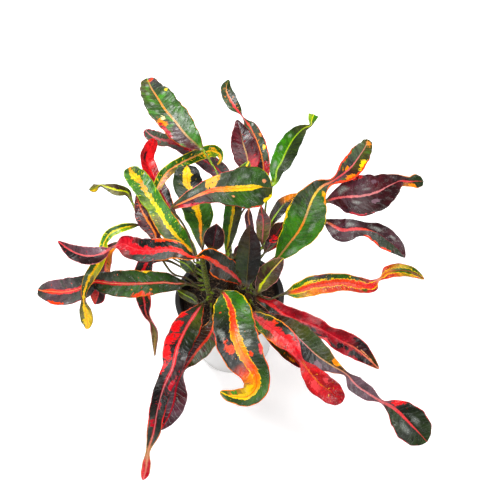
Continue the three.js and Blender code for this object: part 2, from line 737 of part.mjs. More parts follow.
function coverPotGeometry() {
  const rimRadius = lipRadius - coverRimInset;
  const [bevelWidth, bevelHeight] = coverRimBevel;
  return turned([
    [0, 0],
    [footRadius, 0],
    [baseRadius, footStep],
    [rimRadius - bevelWidth, coverRimTop - bevelHeight],
    [rimRadius - 2 * bevelWidth, coverRimTop],
    [rimRadius - coverWall, coverRimTop],
    [baseRadius - coverWall, coverFloor + coverFloorBevel],
    [baseRadius - coverWall - coverFloorBevel, coverFloor],
    [0, coverFloor],
  ], potSegments);
}

// The nursery pot's wall runs straight from its base up to its lip
function nurseryOuterRadius(height) {
  const top = potHeight - lipThickness;
  const topRadius = lipRadius - lipWidth + nurseryWall;
  return THREE.MathUtils.mapLinear(height, nurseryFloor, top, nurseryBaseRadius, topRadius);
}

function nurseryPotGeometry() {
  const lipBottom = potHeight - lipThickness;
  const floorTop = nurseryFloor + nurseryFloorThickness;
  let solid = solidOf(turned([
    [0, nurseryFloor],
    [nurseryOuterRadius(nurseryFloor), nurseryFloor],
    [nurseryOuterRadius(lipBottom), lipBottom],
    [lipRadius - lipUnderBevel, lipBottom],
    [lipRadius, lipBottom + lipBevel],
    [lipRadius, potHeight - lipBevel],
    [lipRadius - lipBevel, potHeight],
    [lipRadius - lipWidth + lipBevel, potHeight],
    [lipRadius - lipWidth, potHeight - lipBevel],
    [nurseryOuterRadius(floorTop) - nurseryWall, floorTop],
    [0, floorTop],
  ], potSegments));
  for (let k = 0; k < drainHoleCount; k += 1) {
    const angle = (2 * Math.PI * k) / drainHoleCount;
    const x = Math.cos(angle) * drainRingRadius;
    const y = Math.sin(angle) * drainRingRadius;
    const bottom = nurseryFloor - cutMargin;
    const hole = cylinder(drainHoleRadius, bottom, floorTop + cutMargin, x, y, drainHoleSides);
    solid = solid.subtract(hole);
  }
  return geometryOf(solid);
}

// Soil

// Height of the loose soil above its flat level: a low dome with rounded clods
function soilBumps(radius, angle, height) {
  if (height < soilLevel) return 0;
  const x = radius * Math.cos(angle);
  const y = radius * Math.sin(angle);
  const [turnX, turnY, turnAcross] = clodTurns;
  const [shiftX, shiftAcross] = clodShifts;
  const crossed = Math.sin(x * turnX + shiftX) * Math.cos(y * turnY);
  const clods = crossed + Math.sin((x - y) * turnAcross + shiftAcross);
  return soilDome * (1 - (radius / lipRadius) ** 2) + (soilBump * clods) / 2;
}

function soilGeometry() {
  const floorTop = nurseryFloor + nurseryFloorThickness + gap;
  const clear = nurseryWall + soilClearance;
  const outer = nurseryOuterRadius(soilLevel) - clear;
  const profile = [[0, floorTop], [nurseryOuterRadius(floorTop) - clear, floorTop]];
  for (let i = 0; i < soilRings; i += 1) {
    profile.push([outer * (1 - i / soilRings), soilLevel]);
  }
  profile.push([0, soilLevel]);
  let solid = solidOf(turned(profile, soilSegments, soilBumps));
  Object.values(stems).forEach(([foot]) => {
    const radius = stemFootRadius + gap;
    const [x, y] = foot;
    const socket = cylinder(radius, socketFloor, potHeight, x, y, socketSides);
    solid = solid.subtract(socket);
  });
  return geometryOf(solid);
}

// The whole plant

const croton = new THREE.Group();

function addPart(name, geometry, [colour, roughness]) {
  const material = new THREE.MeshStandardMaterial({ color: colour, roughness, metalness: 0 });
  const mesh = new THREE.Mesh(geometry, material);
  mesh.name = name;
  croton.add(mesh);
}

addPart('cover_pot', coverPotGeometry(), coverFinish);
addPart('nursery_pot', nurseryPotGeometry(), nurseryFinish);
addPart('soil', soilGeometry(), soilFinish);
Object.keys(stems).forEach((name) => {
  addPart(`stem_${name}`, stemGeometry(name), stemFinish);
});
leaves.forEach((leaf) => {
  addPart(leaf.name, leafGeometry(leaf), [leaf.colour, leafRoughness]);
});

export default croton;
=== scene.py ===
"""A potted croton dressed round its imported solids: fine leaves, stems, soil and pots.

Lengths are millimetres while a shape is made, and metres once it is a Blender mesh.
"""

import math

import bpy
import numpy as np
from mathutils import Matrix, Vector


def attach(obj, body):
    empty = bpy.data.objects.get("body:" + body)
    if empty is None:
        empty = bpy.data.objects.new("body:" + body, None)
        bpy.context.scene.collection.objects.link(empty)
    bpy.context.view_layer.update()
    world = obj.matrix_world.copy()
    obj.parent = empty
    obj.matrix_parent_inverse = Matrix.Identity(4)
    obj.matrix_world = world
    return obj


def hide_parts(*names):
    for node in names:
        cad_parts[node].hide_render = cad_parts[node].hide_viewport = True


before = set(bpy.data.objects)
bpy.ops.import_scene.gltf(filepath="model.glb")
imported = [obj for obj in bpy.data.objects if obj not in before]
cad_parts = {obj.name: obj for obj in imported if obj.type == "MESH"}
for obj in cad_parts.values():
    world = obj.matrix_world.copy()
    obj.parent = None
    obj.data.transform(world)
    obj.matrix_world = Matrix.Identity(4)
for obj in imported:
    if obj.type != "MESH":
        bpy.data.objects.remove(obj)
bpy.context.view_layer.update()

MM = 0.001

# Camera, lights and floor

CAMERA_PLACE = (25.5, -480.0, 750.0)
CAMERA_PITCH = 50.4
CAMERA_ROLL = -3.5
CAMERA_LENS, CAMERA_SENSOR = 53.28, 36
LIGHTS_AIM = (0, 0, 0.15)
LIGHTS = {
    "key": dict(place=(-0.55, 0.75, 1.45), size=0.6, power=22),
    "top": dict(place=(0.15, -0.35, 1.8), size=1.1, power=19),
    "left": dict(place=(-1.0, -0.8, 1.05), size=0.3, power=4),
    "right": dict(place=(1.1, -0.6, 1.0), size=0.3, power=5),
}
FLOOR_SIZE = 30000.0
FLOOR_GLOW, FAR_GLOW = 0.42, 0.62
GLOW_FROM, GLOW_TO = 0.5, 2.2
SKY_LOW, SKY_HIGH, SKY_TOP = 0.9, 0.15, 0.2

# Leaf form, by the same rules as the solids

TO_LIGHT = np.array([0.0, -0.5, 0.866])
NARROWEST = 0.45
TAPER_FROM, TAPER_TO = 84.0, 190.0
STEM_FOOT, STEM_TIP = 3.2, 2.4
STALK_START, STALK_TURN, STALK_RISE = 0.8, 4.2, 0.6
STALK_BASE_HALF, STALK_TURN_HALF, STALK_HALF = 1.5, 1.1, 1.2
CUP, CUP_POWER = 0.12, 1.4
WAVE, WAVE_PERIOD, WAVE_SHIFT, FULL_WAVE_WIDTH = 1.2, 45.0, 1.3, 8.0
FRAME_REACH = 0.2

# Fine leaf mesh and its relief

STATION_STEP = 1.25
BLADE_CELLS = 18
SEED_STEP = 1.7
BLADE_HALF, MARGIN_THINNER = 0.2, 0.55
RIB_HALF, RIB_WIDTH = 0.22, 1.2
GROOVE_DEPTH, GROOVE_WIDTH, FULL_GROOVE_WIDTH = 0.45, 1.1, 6.0
RIPPLE, RIPPLE_PERIOD, RIPPLE_SHIFT = 0.32, 13.0, 2.0
RIPPLE_DRIFT, RIPPLE_DRIFT_LENGTH = 1.5, 17
QUILT, QUILT_CHANGE, QUILT_CHANGE_LENGTH, QUILT_SHIFT = 0.07, 0.04, 19, 1.7
QUILT_DRIFT, QUILT_DRIFT_LENGTH = 1.8, 11
QUILT_SHAKE, QUILT_SHAKE_LENGTH = 0.9, 4.3
QUILT_STARTS, QUILT_FULL, QUILT_FADES = 0.08, 0.4, 0.75
OUTLINE_SWELL, OUTLINE_SWELL_LENGTH = 0.025, 17
OUTLINE_NIBBLE, OUTLINE_NIBBLE_LENGTH = 0.008, 1.2
TIP_HALF_SHARE = 0.03
TIP_ROUND, TIP_STATIONS = 3.0, 7
VEIN_LEAN, VEIN_SPACING = 0.55, 5.2
STALK_ROUND_FROM, STALK_ROUND_TO = 3.0, 1.6
STALK_SLIMMER, STALK_FLATTER, STALK_THINNEST = 0.2, 0.8, 0.05
STALK_INTO_STEM, STALK_INTO_REACH = 1.6, 2.5
LAMINA_HALF, FADE_BEFORE, FADE_AFTER = 3.0, 3, 5

# Stems: x, y, z from the soil to the tip

STEMS = {
    "left": [(-19, -12, 66.4), (-19, -12, 86), (-20, -18, 118), (-21, -21, 150), (-22, -19, 178),
             (-22, -17, 187)],
    "right": [(21, -9, 66.4), (21, -9, 86), (21, -13, 118), (25, -14, 150), (31, -10, 178),
              (32, -9, 188)],
    "rear": [(2, 18, 66.4), (2, 18, 86), (3, 19, 125), (4, 21, 160), (4, 23, 185)],
}
STEM_SIDES, STEM_STEP = 28, 1.0
STEM_SLIMMER, STEM_FOOT_SLIMMER = 0.97, 0.98
NODE_SWELL, NODE_REACH, KNOT_REACH = 0.42, 2.2, 1.3
SCARS_FROM, SCAR_SPACING, SCARS_CLEAR = 86, 7.5, 3
SMALL_RIDGES, SMALL_RIDGE_DEPTH = 5, 0.03
BROAD_RIDGES, BROAD_RIDGE_DEPTH = 3, 0.025
FULL_RIDGE_RADIUS = 2
BUD_HEIGHT, BUD_RINGS, BUD_TIP_SHARE, BUD_POINT = 4.0, 5, 0.03, 1.5

# Pots and soil

POT_SIDES = 144
CREASE = 40
LIP_RADIUS, POT_HEIGHT = 60.0, 94.0
BASE_RADIUS, FOOT_RADIUS, FOOT_STEP = 43.3, 41.8, 1.2
FOOT_RECESS, FOOT_BAND, FOOT_SLOPE = 0.9, 3.2, 0.8
COVER_RIM, COVER_RIM_INSET, COVER_WALL, COVER_FLOOR = 90.8, 1.0, 2.4, 3.0
RIM_BEVEL_FOOT, RIM_BEVEL_TOP, RIM_BEVEL_DROP = 0.7, 1.2, 0.8
NURSERY_LIP, NURSERY_WALL, LIP_BOTTOM = 5.6, 1.6, 91.2
NURSERY_BASE, NURSERY_FLOOR, NURSERY_FLOOR_TOP = 39.0, 7.0, 9.0
LIP_UNDERCUT, THROAT_INSET, THROAT_DROP = 0.1, 0.6, 5
DRAIN_HOLES, DRAIN_RADIUS, DRAIN_RING, DRAIN_SIDES = 8, 3.5, 27.0, 20
CUT_PAST = 1
SOIL_LEVEL, SOIL_DOME, SOIL_BUMP = 80.0, 2.0, 1.6
SOIL_FLOOR, SOIL_CLEAR = 9.35, 2.5
SOIL_RINGS, SOIL_SIDES = 64, 160
SOIL_SEED = 7
SOIL_LUMPS, SOIL_GRIT = 0.55, 0.22

# What lies on the soil: how many, clear of the wall, above the bed, sizes, and shades for the
# material, where fibres are paler than crumbs and grains are palest

CRUMBS = dict(count=1000, clear=1, lift=0.1, size=(0.5, 1.7), shade=(0.05, 0.5))
FIBRES = dict(count=260, clear=4, width=(0.16, 0.4), size=(4, 11), shade=(0.62, 0.95))
GRAINS = dict(count=26, clear=1, lift=0.2, size=(0.35, 0.8), shade=(1.6, 2))
FULL_TURN = 6.28
FIBRE_RINGS, FIBRE_BEND, FIBRE_LIFT, FIBRE_ARCH, FIBRE_TAPER = 6, 0.5, 0.9, 0.5, 1.2
LUMP_FLATTEST, LUMP_SHAKE, LUMP_TILT = 0.45, 0.16, 0.6
LUMP_SIDES = [[0, 3, 2, 1], [4, 5, 6, 7], [0, 1, 5, 4], [1, 2, 6, 5], [2, 3, 7, 6], [3, 0, 4, 7]]

# Depths of the materials' relief

VEIN_RELIEF, SWELL_RELIEF, GRIT_RELIEF = 0.07, 1.1, 0.1
BARK_RELIEF, COVER_RELIEF, NURSERY_RELIEF = 0.5, 0.12, 0.2
CRUMB_RELIEF, CLOD_RELIEF = 0.6, 1.5

# Colours of the plant

COLOURS = {
    "vivid": "#3d8a06", "green": "#386a12", "dark": "#2a3e14", "black": "#11150e",
    "olive": "#4e5214", "grey": "#5a6c4c", "slate": "#40443c", "plum": "#745560",
    "purple": "#541f32", "maroon": "#5c101d", "wine": "#370810", "soot": "#1a080a",
    "crimson": "#b80620", "scarlet": "#ea1018", "salmon": "#e63e42", "vermilion": "#f23e08",
    "orange": "#fa8a08", "peach": "#ee9660", "tan": "#c08f50", "yellow": "#ffd004",
    "lemon": "#e6e80e", "amber": "#f4ae08", "lime": "#93b814", "cream": "#efe2a2",
    "pink": "#d6797a", "brown": "#49291a", "khaki": "#857d42", "pale": "#c5ccc4",
}

# Colours of the pots, the soil and the floor, as linear values

LINEAR_COLOURS = {
    "pot_shade": (0.66, 0.66, 0.66), "pot_light": (0.8, 0.8, 0.79), "foot_grey": (0.42, 0.4, 0.37),
    "scuff": (0.45, 0.45, 0.45), "plastic": (0.006, 0.006, 0.006),
    "worn_plastic": (0.022, 0.022, 0.021), "lip_highlight": (0.06, 0.06, 0.06),
    "wet_earth": (0.007, 0.005, 0.004), "dry_earth": (0.045, 0.026, 0.015),
    "dark_crumb": (0.012, 0.007, 0.005), "light_crumb": (0.16, 0.095, 0.05),
    "old_straw": (0.16, 0.1, 0.05), "straw": (0.5, 0.38, 0.22), "grain": (0.5, 0.47, 0.4),
    "pores": (0.005, 0.004, 0.003), "floor_low": (0.86, 0.86, 0.865), "floor_high": (0.9, 0.9, 0.9),
}

# Every leaf: the stem and height that it grows from, its path from the stalk to the tip, and how
# it is coloured.
# A point of a path has x, y, z, a half width and a roll in degrees. A bare place is a point of
# the stalk, and a roll left out is 0.
# Colours and widths are given at percentages along the leaf from the foot of its stalk. Left and
# right are those of someone who looks along it from there. The edge is a band at the margin. The
# rib is a band along the midrib, which may have a middle line and a halo, and ragged is how far
# its border swings. Under is the colour that the underside turns to.
# Flecks follow the veins and clouds are wider: both have an amount and a colour. Veins have an
# amount and may have a colour of their own. Sheen is an amount of painted sheen: a pale wash and
# pale specks, which also read as a waxy bloom.
# A patch has its percentage along, its share across, its half length and half width in
# millimetres, and its colour. With a strength behind them it is soft and speckled: the pale
# ones are painted highlights.

LEAVES = {
    "rear_broad_green": dict(
        stem="rear", height=183,
        path="7 27 193, 3 33 207, -1 45 232, -8 58 240, -15 71 244 1.6, -22 78 247 8, -31 88 250 13, "
            "-43 108 253 16.5 5, -54 127 254 17.3 8, -62 147 253 15.8 8, -70 169 249 12.6 10, "
            "-75 187 245 8 10, -77 194 243 4 10",
        left="42 maroon, 52 brown, 60 slate, 70 green, 90 olive",
        right="42 vivid, 60 green, 76 green, 86 dark, 92 slate, 100 plum", ragged=0.1,
        rib="40 olive, 52 tan, 70 orange, 90 tan, 100 lime", rib_width="60 1, 90 .8, 100 .4",
        edge="40 crimson, 60 orange, 75 brown, 100 tan", edge_width="40 .5", clouds=".32 vivid",
        flecks=".08 brown", sheen=0.6, vein=".04 pale", stalk="lime",
        patches="80 .5 4 2.4 pale .6, 84 -.5 4 2.4 pale .6, 92 -.3 4 2 pale .6, 75 -.5 3 2.4 pale .6, "
            "68 .4 3 2 pale .6, 58 .5 3 2 pale .6, 50 .4 3 2 pale .5, 69 -.5 3 2 pale .5, "
            "62 -.7 6 3.6 orange, 64 -.45 4 2.2 cream, 57 -.85 9 2 crimson, 97 .25 3 3 vermilion, "
            "82 .8 3 1.5 yellow, 51 -.4 9 4 wine"),
    "rear_slate": dict(
        stem="rear", height=173,
        path="8 70 190, 5 79 193 6, -3 91 197 9.5, -16 102 200 9.5 10, -33 119 201 8.5 10, "
            "-51 138 198 8 5, -68 150 193 8.3, -80 163 189 6.5, -86 175 186 3",
        left="30 purple, 60 plum, 84 grey, 100 slate", right="30 slate, 60 plum, 80 grey, 100 slate",
        rib="70 crimson, 90 pink", rib_width="30 .6, 60 1.4, 72 2.6, 85 1, 100 .4", ragged=1,
        edge="30 crimson, 60 pink, 100 crimson", edge_width="30 .4, 90 .6, 100 1.4", flecks=".16 crimson",
        clouds=".3 purple", sheen=0.9, patches="72 -.1 7 2.4 crimson"),
    "rear_scarlet": dict(
        stem="left", height=166, cup=0.2,
        path="-37 13 171, -47 36 179 1.4, -56 53 186 5 10, -64 69 190 8 15, -70 84 194 7.6 20, "
            "-77 99 198 8.2 25, -80 112 201 7.8 25, -77 125 202 7.2 20, -74 136 202 5.2 20, "
            "-74 142 201 2.6 20",
        left="40 wine, 55 crimson, 66 crimson, 76 scarlet", right="55 wine, 64 crimson, 76 scarlet",
        rib="40 crimson, 62 maroon, 70 scarlet", rib_width="40 1",
        edge="40 orange, 60 crimson, 100 salmon", edge_width="40 .8, 70 .4", flecks=".1 wine",
        patches="83 -.25 4.5 1.1 wine, 52 .7 12 2 black", under="crimson"),
    "arched_yellow_edge": dict(
        stem="left", height=170, cup=0.3,
        path="-38 3 182, -51 17 198, -61 36 208 1.5, -66 49 212 3, -63 57 215 5, -54 69 220 6, "
            "-40 74 226 6 10, -25 82 227 6.2 15, -15 89 225 6.4 20, -7 95 221 6.6 15, 0 94 217 4.2 10, "
            "1 89 213 2 10, -3 85 210 1.2 10",
        left="40 olive, 55 vivid, 70 green, 80 green, 88 vivid, 93 green, 97 dark",
        right="40 tan, 55 peach, 66 green, 74 vivid, 82 vivid, 88 lime, 94 vivid, 100 dark",
        rib="40 lemon, 60 peach, 70 peach, 84 yellow, 94 yellow, 100 amber",
        rib_width="40 .5, 60 .7, 78 .8, 88 1, 100 .6", ragged=1, line="orange", clouds=".3 vivid",
        edge="40 lime, 66 yellow, 84 yellow, 94 lime", edge_width="40 .6", flecks=".16 yellow",
        under="khaki", patches="84 .5 4 1.4 amber, 89 -.4 3 1.4 amber, 95 .4 2.4 1.6 amber"),
    "left_yellow_rib": dict(
        stem="left", height=174,
        path="-27 -16 182 1.3, -35 -9 190 7, -47 0 200 11, -57 12 208 11 5, -64 25 214 10 5, "
            "-73 40 218 10.5 5, -82 59 218 11, -91 75 214 9.3, -96 89 210 4.5",
        left="10 green, 30 grey, 44 khaki, 54 lime, 66 green, 80 vivid, 100 green",
        right="10 green, 40 vivid, 70 vivid, 90 green",
        rib="0 lime, 25 yellow, 50 lemon, 75 orange, 85 yellow, 100 orange",
        rib_width="8 .8, 20 1.2, 40 2.4, 60 2.2, 76 2, 82 4.2, 88 2.6, 100 1", ragged=0.9, line="orange",
        edge="10 yellow, 40 orange, 60 lime", edge_width="10 .5, 50 .7, 100 .5", flecks=".12 lemon",
        clouds=".25 green", sheen=0.5, under="khaki"),
    "left_upper_red_rib": dict(
        stem="right", height=128,
        path="13 -21 146 4, 5 -24 165 10, -6 -31 187 12.5 5, -15 -35 203 10 25, -24 -40 211 5 70, "
            "-32 -40 215 6 30, -45 -33 217 9 5, -59 -33 218 10.5, -73 -32 217 11.5, -86 -25 214 11 5, "
            "-97 -16 210 8 20, -106 -16 206 4 70, -116 -20 203 8 25, -127 -21 201 9 10, "
            "-140 -16 198 8.4 5, -153 -5 194 6, -167 11 189 1",
        left="10 dark, 30 wine, 42 brown, 50 slate, 60 slate, 68 crimson, 76 wine, 88 soot",
        right="10 dark, 35 black, 42 dark, 50 black, 60 black, 68 crimson, 78 plum, 100 maroon",
        rib="5 salmon, 35 vermilion, 50 scarlet, 72 crimson, 80 pink, 100 crimson",
        rib_width="5 1, 20 2, 33 2.2, 40 1.6, 48 2.6, 58 4, 66 6.5, 71 4, 77 .8, 100 .7", ragged=0.6,
        line="salmon", edge="10 vermilion, 46 orange, 55 maroon, 66 crimson, 80 pink",
        edge_width="10 .8, 44 1.1, 52 .9, 60 .5, 80 .6, 100 .5", flecks=".05 crimson",
        patches="66 .45 6 3 purple, 34 .3 5 2 orange, 50 .85 8 1.4 vermilion", sheen=0.4, under="wine"),
    "left_low_red_rib": dict(
        stem="left", height=136,
        path="-32 -24 145, -41 -23 150 2, -51 -26 155 7, -62 -26 158 10, -77 -28 161 12.5, "
            "-97 -28 162 14, -117 -25 161 12, -135 -20 159 9 -15, -148 -26 157 12.4, -165 -27 154 14 5, "
            "-181 -22 150 11.2 5, -190 -19 148 6.5 5, -194 -16 146 3.4",
        left="15 dark, 40 green, 58 dark, 66 black, 76 slate, 90 plum, 97 slate",
        right="15 dark, 35 green, 52 dark, 60 slate, 72 slate, 90 plum, 100 slate",
        rib="5 purple, 20 salmon, 50 crimson, 70 scarlet, 80 salmon, 96 vermilion",
        rib_width="6 .7, 30 1, 50 1.6, 66 1.8, 80 2.4, 92 2.6, 97 .6", ragged=0.4, line="peach",
        edge="15 brown, 35 orange, 60 maroon, 80 crimson, 100 brown",
        edge_width="15 .3, 40 .6, 60 .4, 90 .6", clouds=".3 slate", flecks=".05 vermilion", sheen=1,
        patches="38 -.88 7 2.6 vermilion, 36 .93 4 1.4 yellow, 88 -.92 7 1.8 vermilion, "
            "43 -.4 1 1 orange, 33 -.5 1 .8 orange"),
    "left_hanging_yellow": dict(
        stem="left", height=158.5, cup=0.2, wave=0.8,
        path="-40 -14 168 1.1, -66 3 176 1.1, -86 32 182 1.3, -95 25 189 3.6 5, -104 19 193 5 10, "
            "-114 14 192 5.2 15, -120 6 188 4.6 20, -121 -4 184 5 5, -127 -13 178 6.3 5, "
            "-135 -24 172 5.8 5, -141 -34 164 3.6 10, -143 -40 157 2.4 5, -143 -45 147 5.8, "
            "-143 -49 137 6.6, -144 -52 129 4, -146 -53 124 1.6",
        left="40 green, 50 lime, 56 vivid, 66 lemon, 74 khaki, 80 green, 86 olive, 92 yellow",
        right="40 dark, 50 green, 60 vivid, 68 green, 76 grey, 84 olive, 92 khaki, 100 olive",
        rib="38 lime, 50 lemon, 70 yellow",
        rib_width="38 .6, 50 .8, 60 .7, 70 1.3, 80 1, 86 .8, 92 2.8, 100 2.4", ragged=1, line="orange",
        edge="40 lemon, 70 yellow, 84 crimson, 90 olive", edge_width="40 .5, 55 .9, 70 .6, 100 .4",
        flecks=".12 lemon", under="khaki"),
    "left_small_olive": dict(
        stem="left", height=162.5,
        path="-40 -8 173 1.1, -65 15 180 1.1, -86 36 187 1.1, -94 56 191 1.3, -99 64 199 4, "
            "-108 63 204 6, -120 67 206 3 10, -126 70 205 1.5 20, -132 69 203 4.5, -139 70 200 1",
        left="60 olive, 80 khaki, 90 olive, 100 yellow", right="60 green, 80 brown, 92 khaki",
        rib="60 lime, 80 lemon, 100 olive", rib_width="60 .6, 80 1, 90 .6, 100 1.2", ragged=1,
        edge="60 lime, 90 brown", edge_width="60 .5", flecks=".22 olive", stalk="lime", under="khaki"),
    "centre_top": dict(
        stem="left", height=178.5, cup=0.1,
        path="-29 -20 195, -33 -16 222, -40 -13 241 1.3, -45 -11 250 1.6, -41 -12 254 3, "
            "-30 -10 258 6.5, -17 -6 261 9, -3 -2 262 13, 12 0 260 17 5, 27 5 255 20 8, "
            "39 10 250 17.8 8, 46 13 245 11.5 8, 50 15 242 5.5 5",
        left="42 slate, 60 dark, 75 dark, 92 green, 100 dark",
        right="42 wine, 56 maroon, 66 dark, 80 green, 92 dark, 100 olive",
        rib="40 salmon, 58 peach, 64 vermilion, 72 orange, 80 yellow",
        rib_width="42 .5, 56 1, 66 2, 78 2.8, 88 2.4, 92 1, 94 0", ragged=0.35, line="orange",
        edge="42 peach, 60 salmon, 80 crimson, 92 olive, 97 lemon", edge_width="42 .5, 70 .4, 90 .4, 96 1",
        clouds=".2 green", sheen=1.2,
        patches="57 -.45 8 2.2 pale .6, 84 -.55 5 2.4 pale .4, 90 .4 4 2 pale .3, 66 -.8 5 4 amber, "
            "66 -.38 4.5 3.4 amber, 67 -.1 4 1.4 peach, 87 .98 7 1.3 vermilion, 96 .85 4 1.6 yellow, "
            "94 -.4 1.8 1.6 peach, 52 .8 12 2 crimson, 76 .45 1.6 1 peach, 60 .55 9 1.6 soot"),
    "left_maroon": dict(
        stem="left", height=143,
        path="-41 -23 160, -52 -23 167 1.3, -61 -14 176 1.4, -66 0 188 3, -70 13 195 8, -77 25 199 10, "
            "-83 39 200 7, -89 60 198 1",
        left="60 maroon, 80 wine, 100 maroon", right="40 wine, 70 maroon",
        rib="40 vermilion, 70 orange, 100 salmon", rib_width="40 .6, 70 1.1, 100 .6", ragged=1,
        edge="40 peach, 70 maroon, 100 crimson", edge_width="40 .5, 60 .8, 100 .4", flecks=".14 vermilion",
        sheen=0.4, patches="52 -.6 6 1.6 orange, 66 .7 9 1.2 orange"),
    "left_drooping_dark": dict(
        stem="left", height=148,
        path="-43 -9 157, -62 3 158 2, -78 4 160 7, -86 -2 150 9, -89 -13 136 8, -88 -24 124 7.5, "
            "-87 -32 112 3.5 10, -83 -37 106 2.2 20, -80 -45 98 4.5 20, -81 -54 88 2.5, -82 -62 78 .8",
        blade="20 soot, 42 black, 60 dark, 68 wine, 80 maroon, 90 khaki, 100 maroon",
        rib="20 crimson, 50 scarlet, 68 salmon, 80 olive, 100 tan",
        rib_width="20 .8, 46 1.8, 66 .9, 78 .6, 88 1.2, 100 .4", ragged=0.6,
        edge="20 crimson, 60 salmon, 80 pink, 100 wine", edge_width="20 .5, 66 .9, 100 .6",
        flecks=".08 scarlet", patches="61 -.85 7 1.6 vermilion"),
    "left_hanging_purple": dict(
        stem="left", height=154.5,
        path="-43 -2 160 1.1, -77 11 170, -105 15 176 2, -117 9 174 5, -123 2 162 6, -127 -2 148 6, "
            "-134 -8 134 8.5, -138 -14 124 8, -142 -17 116 1.5",
        left="72 orange, 80 vermilion, 88 wine", right="50 purple, 78 maroon, 90 crimson, 100 vermilion",
        rib="50 vermilion, 100 salmon", rib_width="50 .6, 100 .7", ragged=0.6, edge="50 pink, 100 crimson",
        edge_width="50 .5, 90 1", flecks=".1 soot", under="wine"),
    "right_upper_green": dict(
        stem="right", height=176,
        path="42 0 187 1.3, 42 7 203 1.3, 44 14 223 1.3, 48 19 236 1.5, 54 25 244 4, 56 32 249 7.4, "
            "61 39 253 10, 66 49 256 10.8, 73 63 257 9.6 5, 81 77 255 7 5, 88 87 252 3.6 10, "
            "94 93 249 1.6 30, 97 105 246 4 10, 100 115 244 5.8",
        left="66 vivid, 74 dark, 84 olive, 94 lime",
        right="38 green, 46 dark, 74 dark, 86 olive, 100 vivid", rib="80 lime, 90 lemon",
        rib_width="30 1, 50 .8, 80 .5, 90 .4", ragged=0.15, edge="38 vivid, 70 dark, 90 lime",
        edge_width="38 .2", vein=".06", clouds=".12 lime",
        patches="50 -.5 4 2 pale .6, 60 -.55 3 2 pale .6, 70 -.5 3 1.6 pale .5", stalk="lime",
        under="vivid"),
    "upright_yellow_rib": dict(
        stem="left", height=183, cup=0.05,
        path="-21 -13 190 1.4, -22 -5 196 5, -22 5 203 10, -23 15 214 14.5, -28 29 224 14 5, "
            "-32 41 233 14.5 5, -32 47 238 12.4 5, -32 53 240 8 5, -32 55 241 4 5",
        left="10 dark, 40 green, 60 dark", right="10 dark, 45 green, 60 green, 76 black",
        rib="5 lime, 30 orange, 52 yellow, 62 orange, 75 yellow",
        rib_width="5 .7, 30 1.2, 46 2.2, 54 3.6, 62 2, 74 2.6, 88 3.6, 97 2.4, 100 0", ragged=0.9,
        line="orange", edge="45 lime, 62 dark, 84 olive", edge_width="10 .5, 45 .8, 66 .3",
        flecks=".05 yellow"),
    "folded_dark": dict(
        stem="left", height=187, cup=0.45, wave=0.6,
        path="-12 -21 196 1.3, -10 -18 201 7, -8 -14 208 10.5, -6 -9 214 8, -5 -5 219 1",
        blade="20 wine, 60 soot, 100 wine", rib="20 maroon", rib_width="20 .4",
        edge="20 maroon, 100 peach", edge_width="20 .3", under="soot"),
    "upright_narrow": dict(
        stem="rear", height=146,
        path="1 5 158 1.4, 3 7 170 3.5, 6 12 186 7, 10 17 204 8.5, 14 24 222 9, 20 35 234 8, "
            "25 45 239 6, 30 55 241 1.5",
        left="20 green, 60 vivid, 80 green", right="20 grey, 50 olive, 80 dark",
        rib="10 lime, 40 lemon, 60 yellow, 70 orange, 85 lemon", rib_width="10 .8, 40 1.2, 60 1.6, 100 .8",
        ragged=0.7, line="orange", edge="10 lime, 60 dark, 80 lime", edge_width="10 .7, 50 .5, 100 .6",
        stalk="lime", under="khaki"),
    "rear_twisted": dict(
        stem="rear", height=167,
        path="20 43 181, 34 56 191 1.3, 42 66 198 3.5, 45 81 202 6.6, 44 98 207 7.8, 40 115 213 8.5, "
            "34 130 219 7 10, 26 144 223 3 60, 19 156 226 6.5 15, 13 171 228 7.3 5, 10 188 229 5.8, "
            "13 202 229 1.6",
        left="20 maroon, 40 wine, 50 slate, 62 grey, 72 dark, 84 grey, 100 dark",
        right="20 maroon, 40 dark, 74 dark, 84 slate, 92 dark",
        rib="20 crimson, 50 orange, 68 salmon, 80 salmon, 90 peach, 100 green",
        rib_width="20 .8, 60 .6, 70 1.6, 84 1.2, 94 .4", ragged=0.8,
        edge="20 crimson, 45 vermilion, 64 crimson, 74 dark", edge_width="20 .8, 50 .9, 66 .5, 80 .3",
        flecks=".13 orange", sheen=0.8,
        patches="38 .3 8 3 crimson, 57 .7 4 1.4 orange, 50 .6 3 1.6 yellow", under="maroon"),
    "rear_maroon": dict(
        stem="rear", height=179,
        path="16 43 199, 27 62 208 4, 29 75 214 10, 28 87 220 14, 25 99 226 13, 23 113 230 8.5, "
            "20 129 232 1.5",
        left="40 wine, 60 maroon", right="56 crimson, 66 maroon, 80 wine",
        rib="40 orange, 60 tan, 72 tan, 90 maroon", rib_width="40 .7, 60 .6, 72 .7, 78 .2", ragged=0.5,
        edge="40 salmon, 60 crimson", edge_width="40 .5, 60 .3, 100 .4", flecks=".1 crimson",
        clouds=".25 soot", sheen=0.25,
        patches="50 .6 11 5 crimson, 45 .1 7 3 crimson, 47 .4 7 .8 orange, 80 -.4 5 2 maroon"),
    "right_broad_green": dict(
        stem="right", height=152,
        path="36 -21 153 1.4, 50 -12 164 2.5, 60 -7 175 9.5, 66 -5 184 12.5, 74 -1 194 17, 80 4 203 20, "
            "85 13 210 19, 90 22 216 15, 99 33 220 9 10, 111 39 222 4 50, 122 48 221 8.5 15, "
            "133 60 219 11.4 5, 144 78 216 10.8, 154 97 212 7.7, 159 111 208 4",
        left="10 green, 25 vivid, 36 vivid, 44 dark, 54 dark, 64 brown, 76 slate, 86 grey, 98 olive",
        right="30 vivid, 42 green, 52 green, 62 plum, 72 brown, 80 olive",
        rib="5 brown, 20 tan, 34 orange, 40 tan, 48 yellow, 56 peach, 62 salmon, 84 pink, 100 tan",
        rib_width="5 .8, 30 1, 44 1.1, 56 1.2, 64 .9, 84 .5, 100 .4", ragged=0.3,
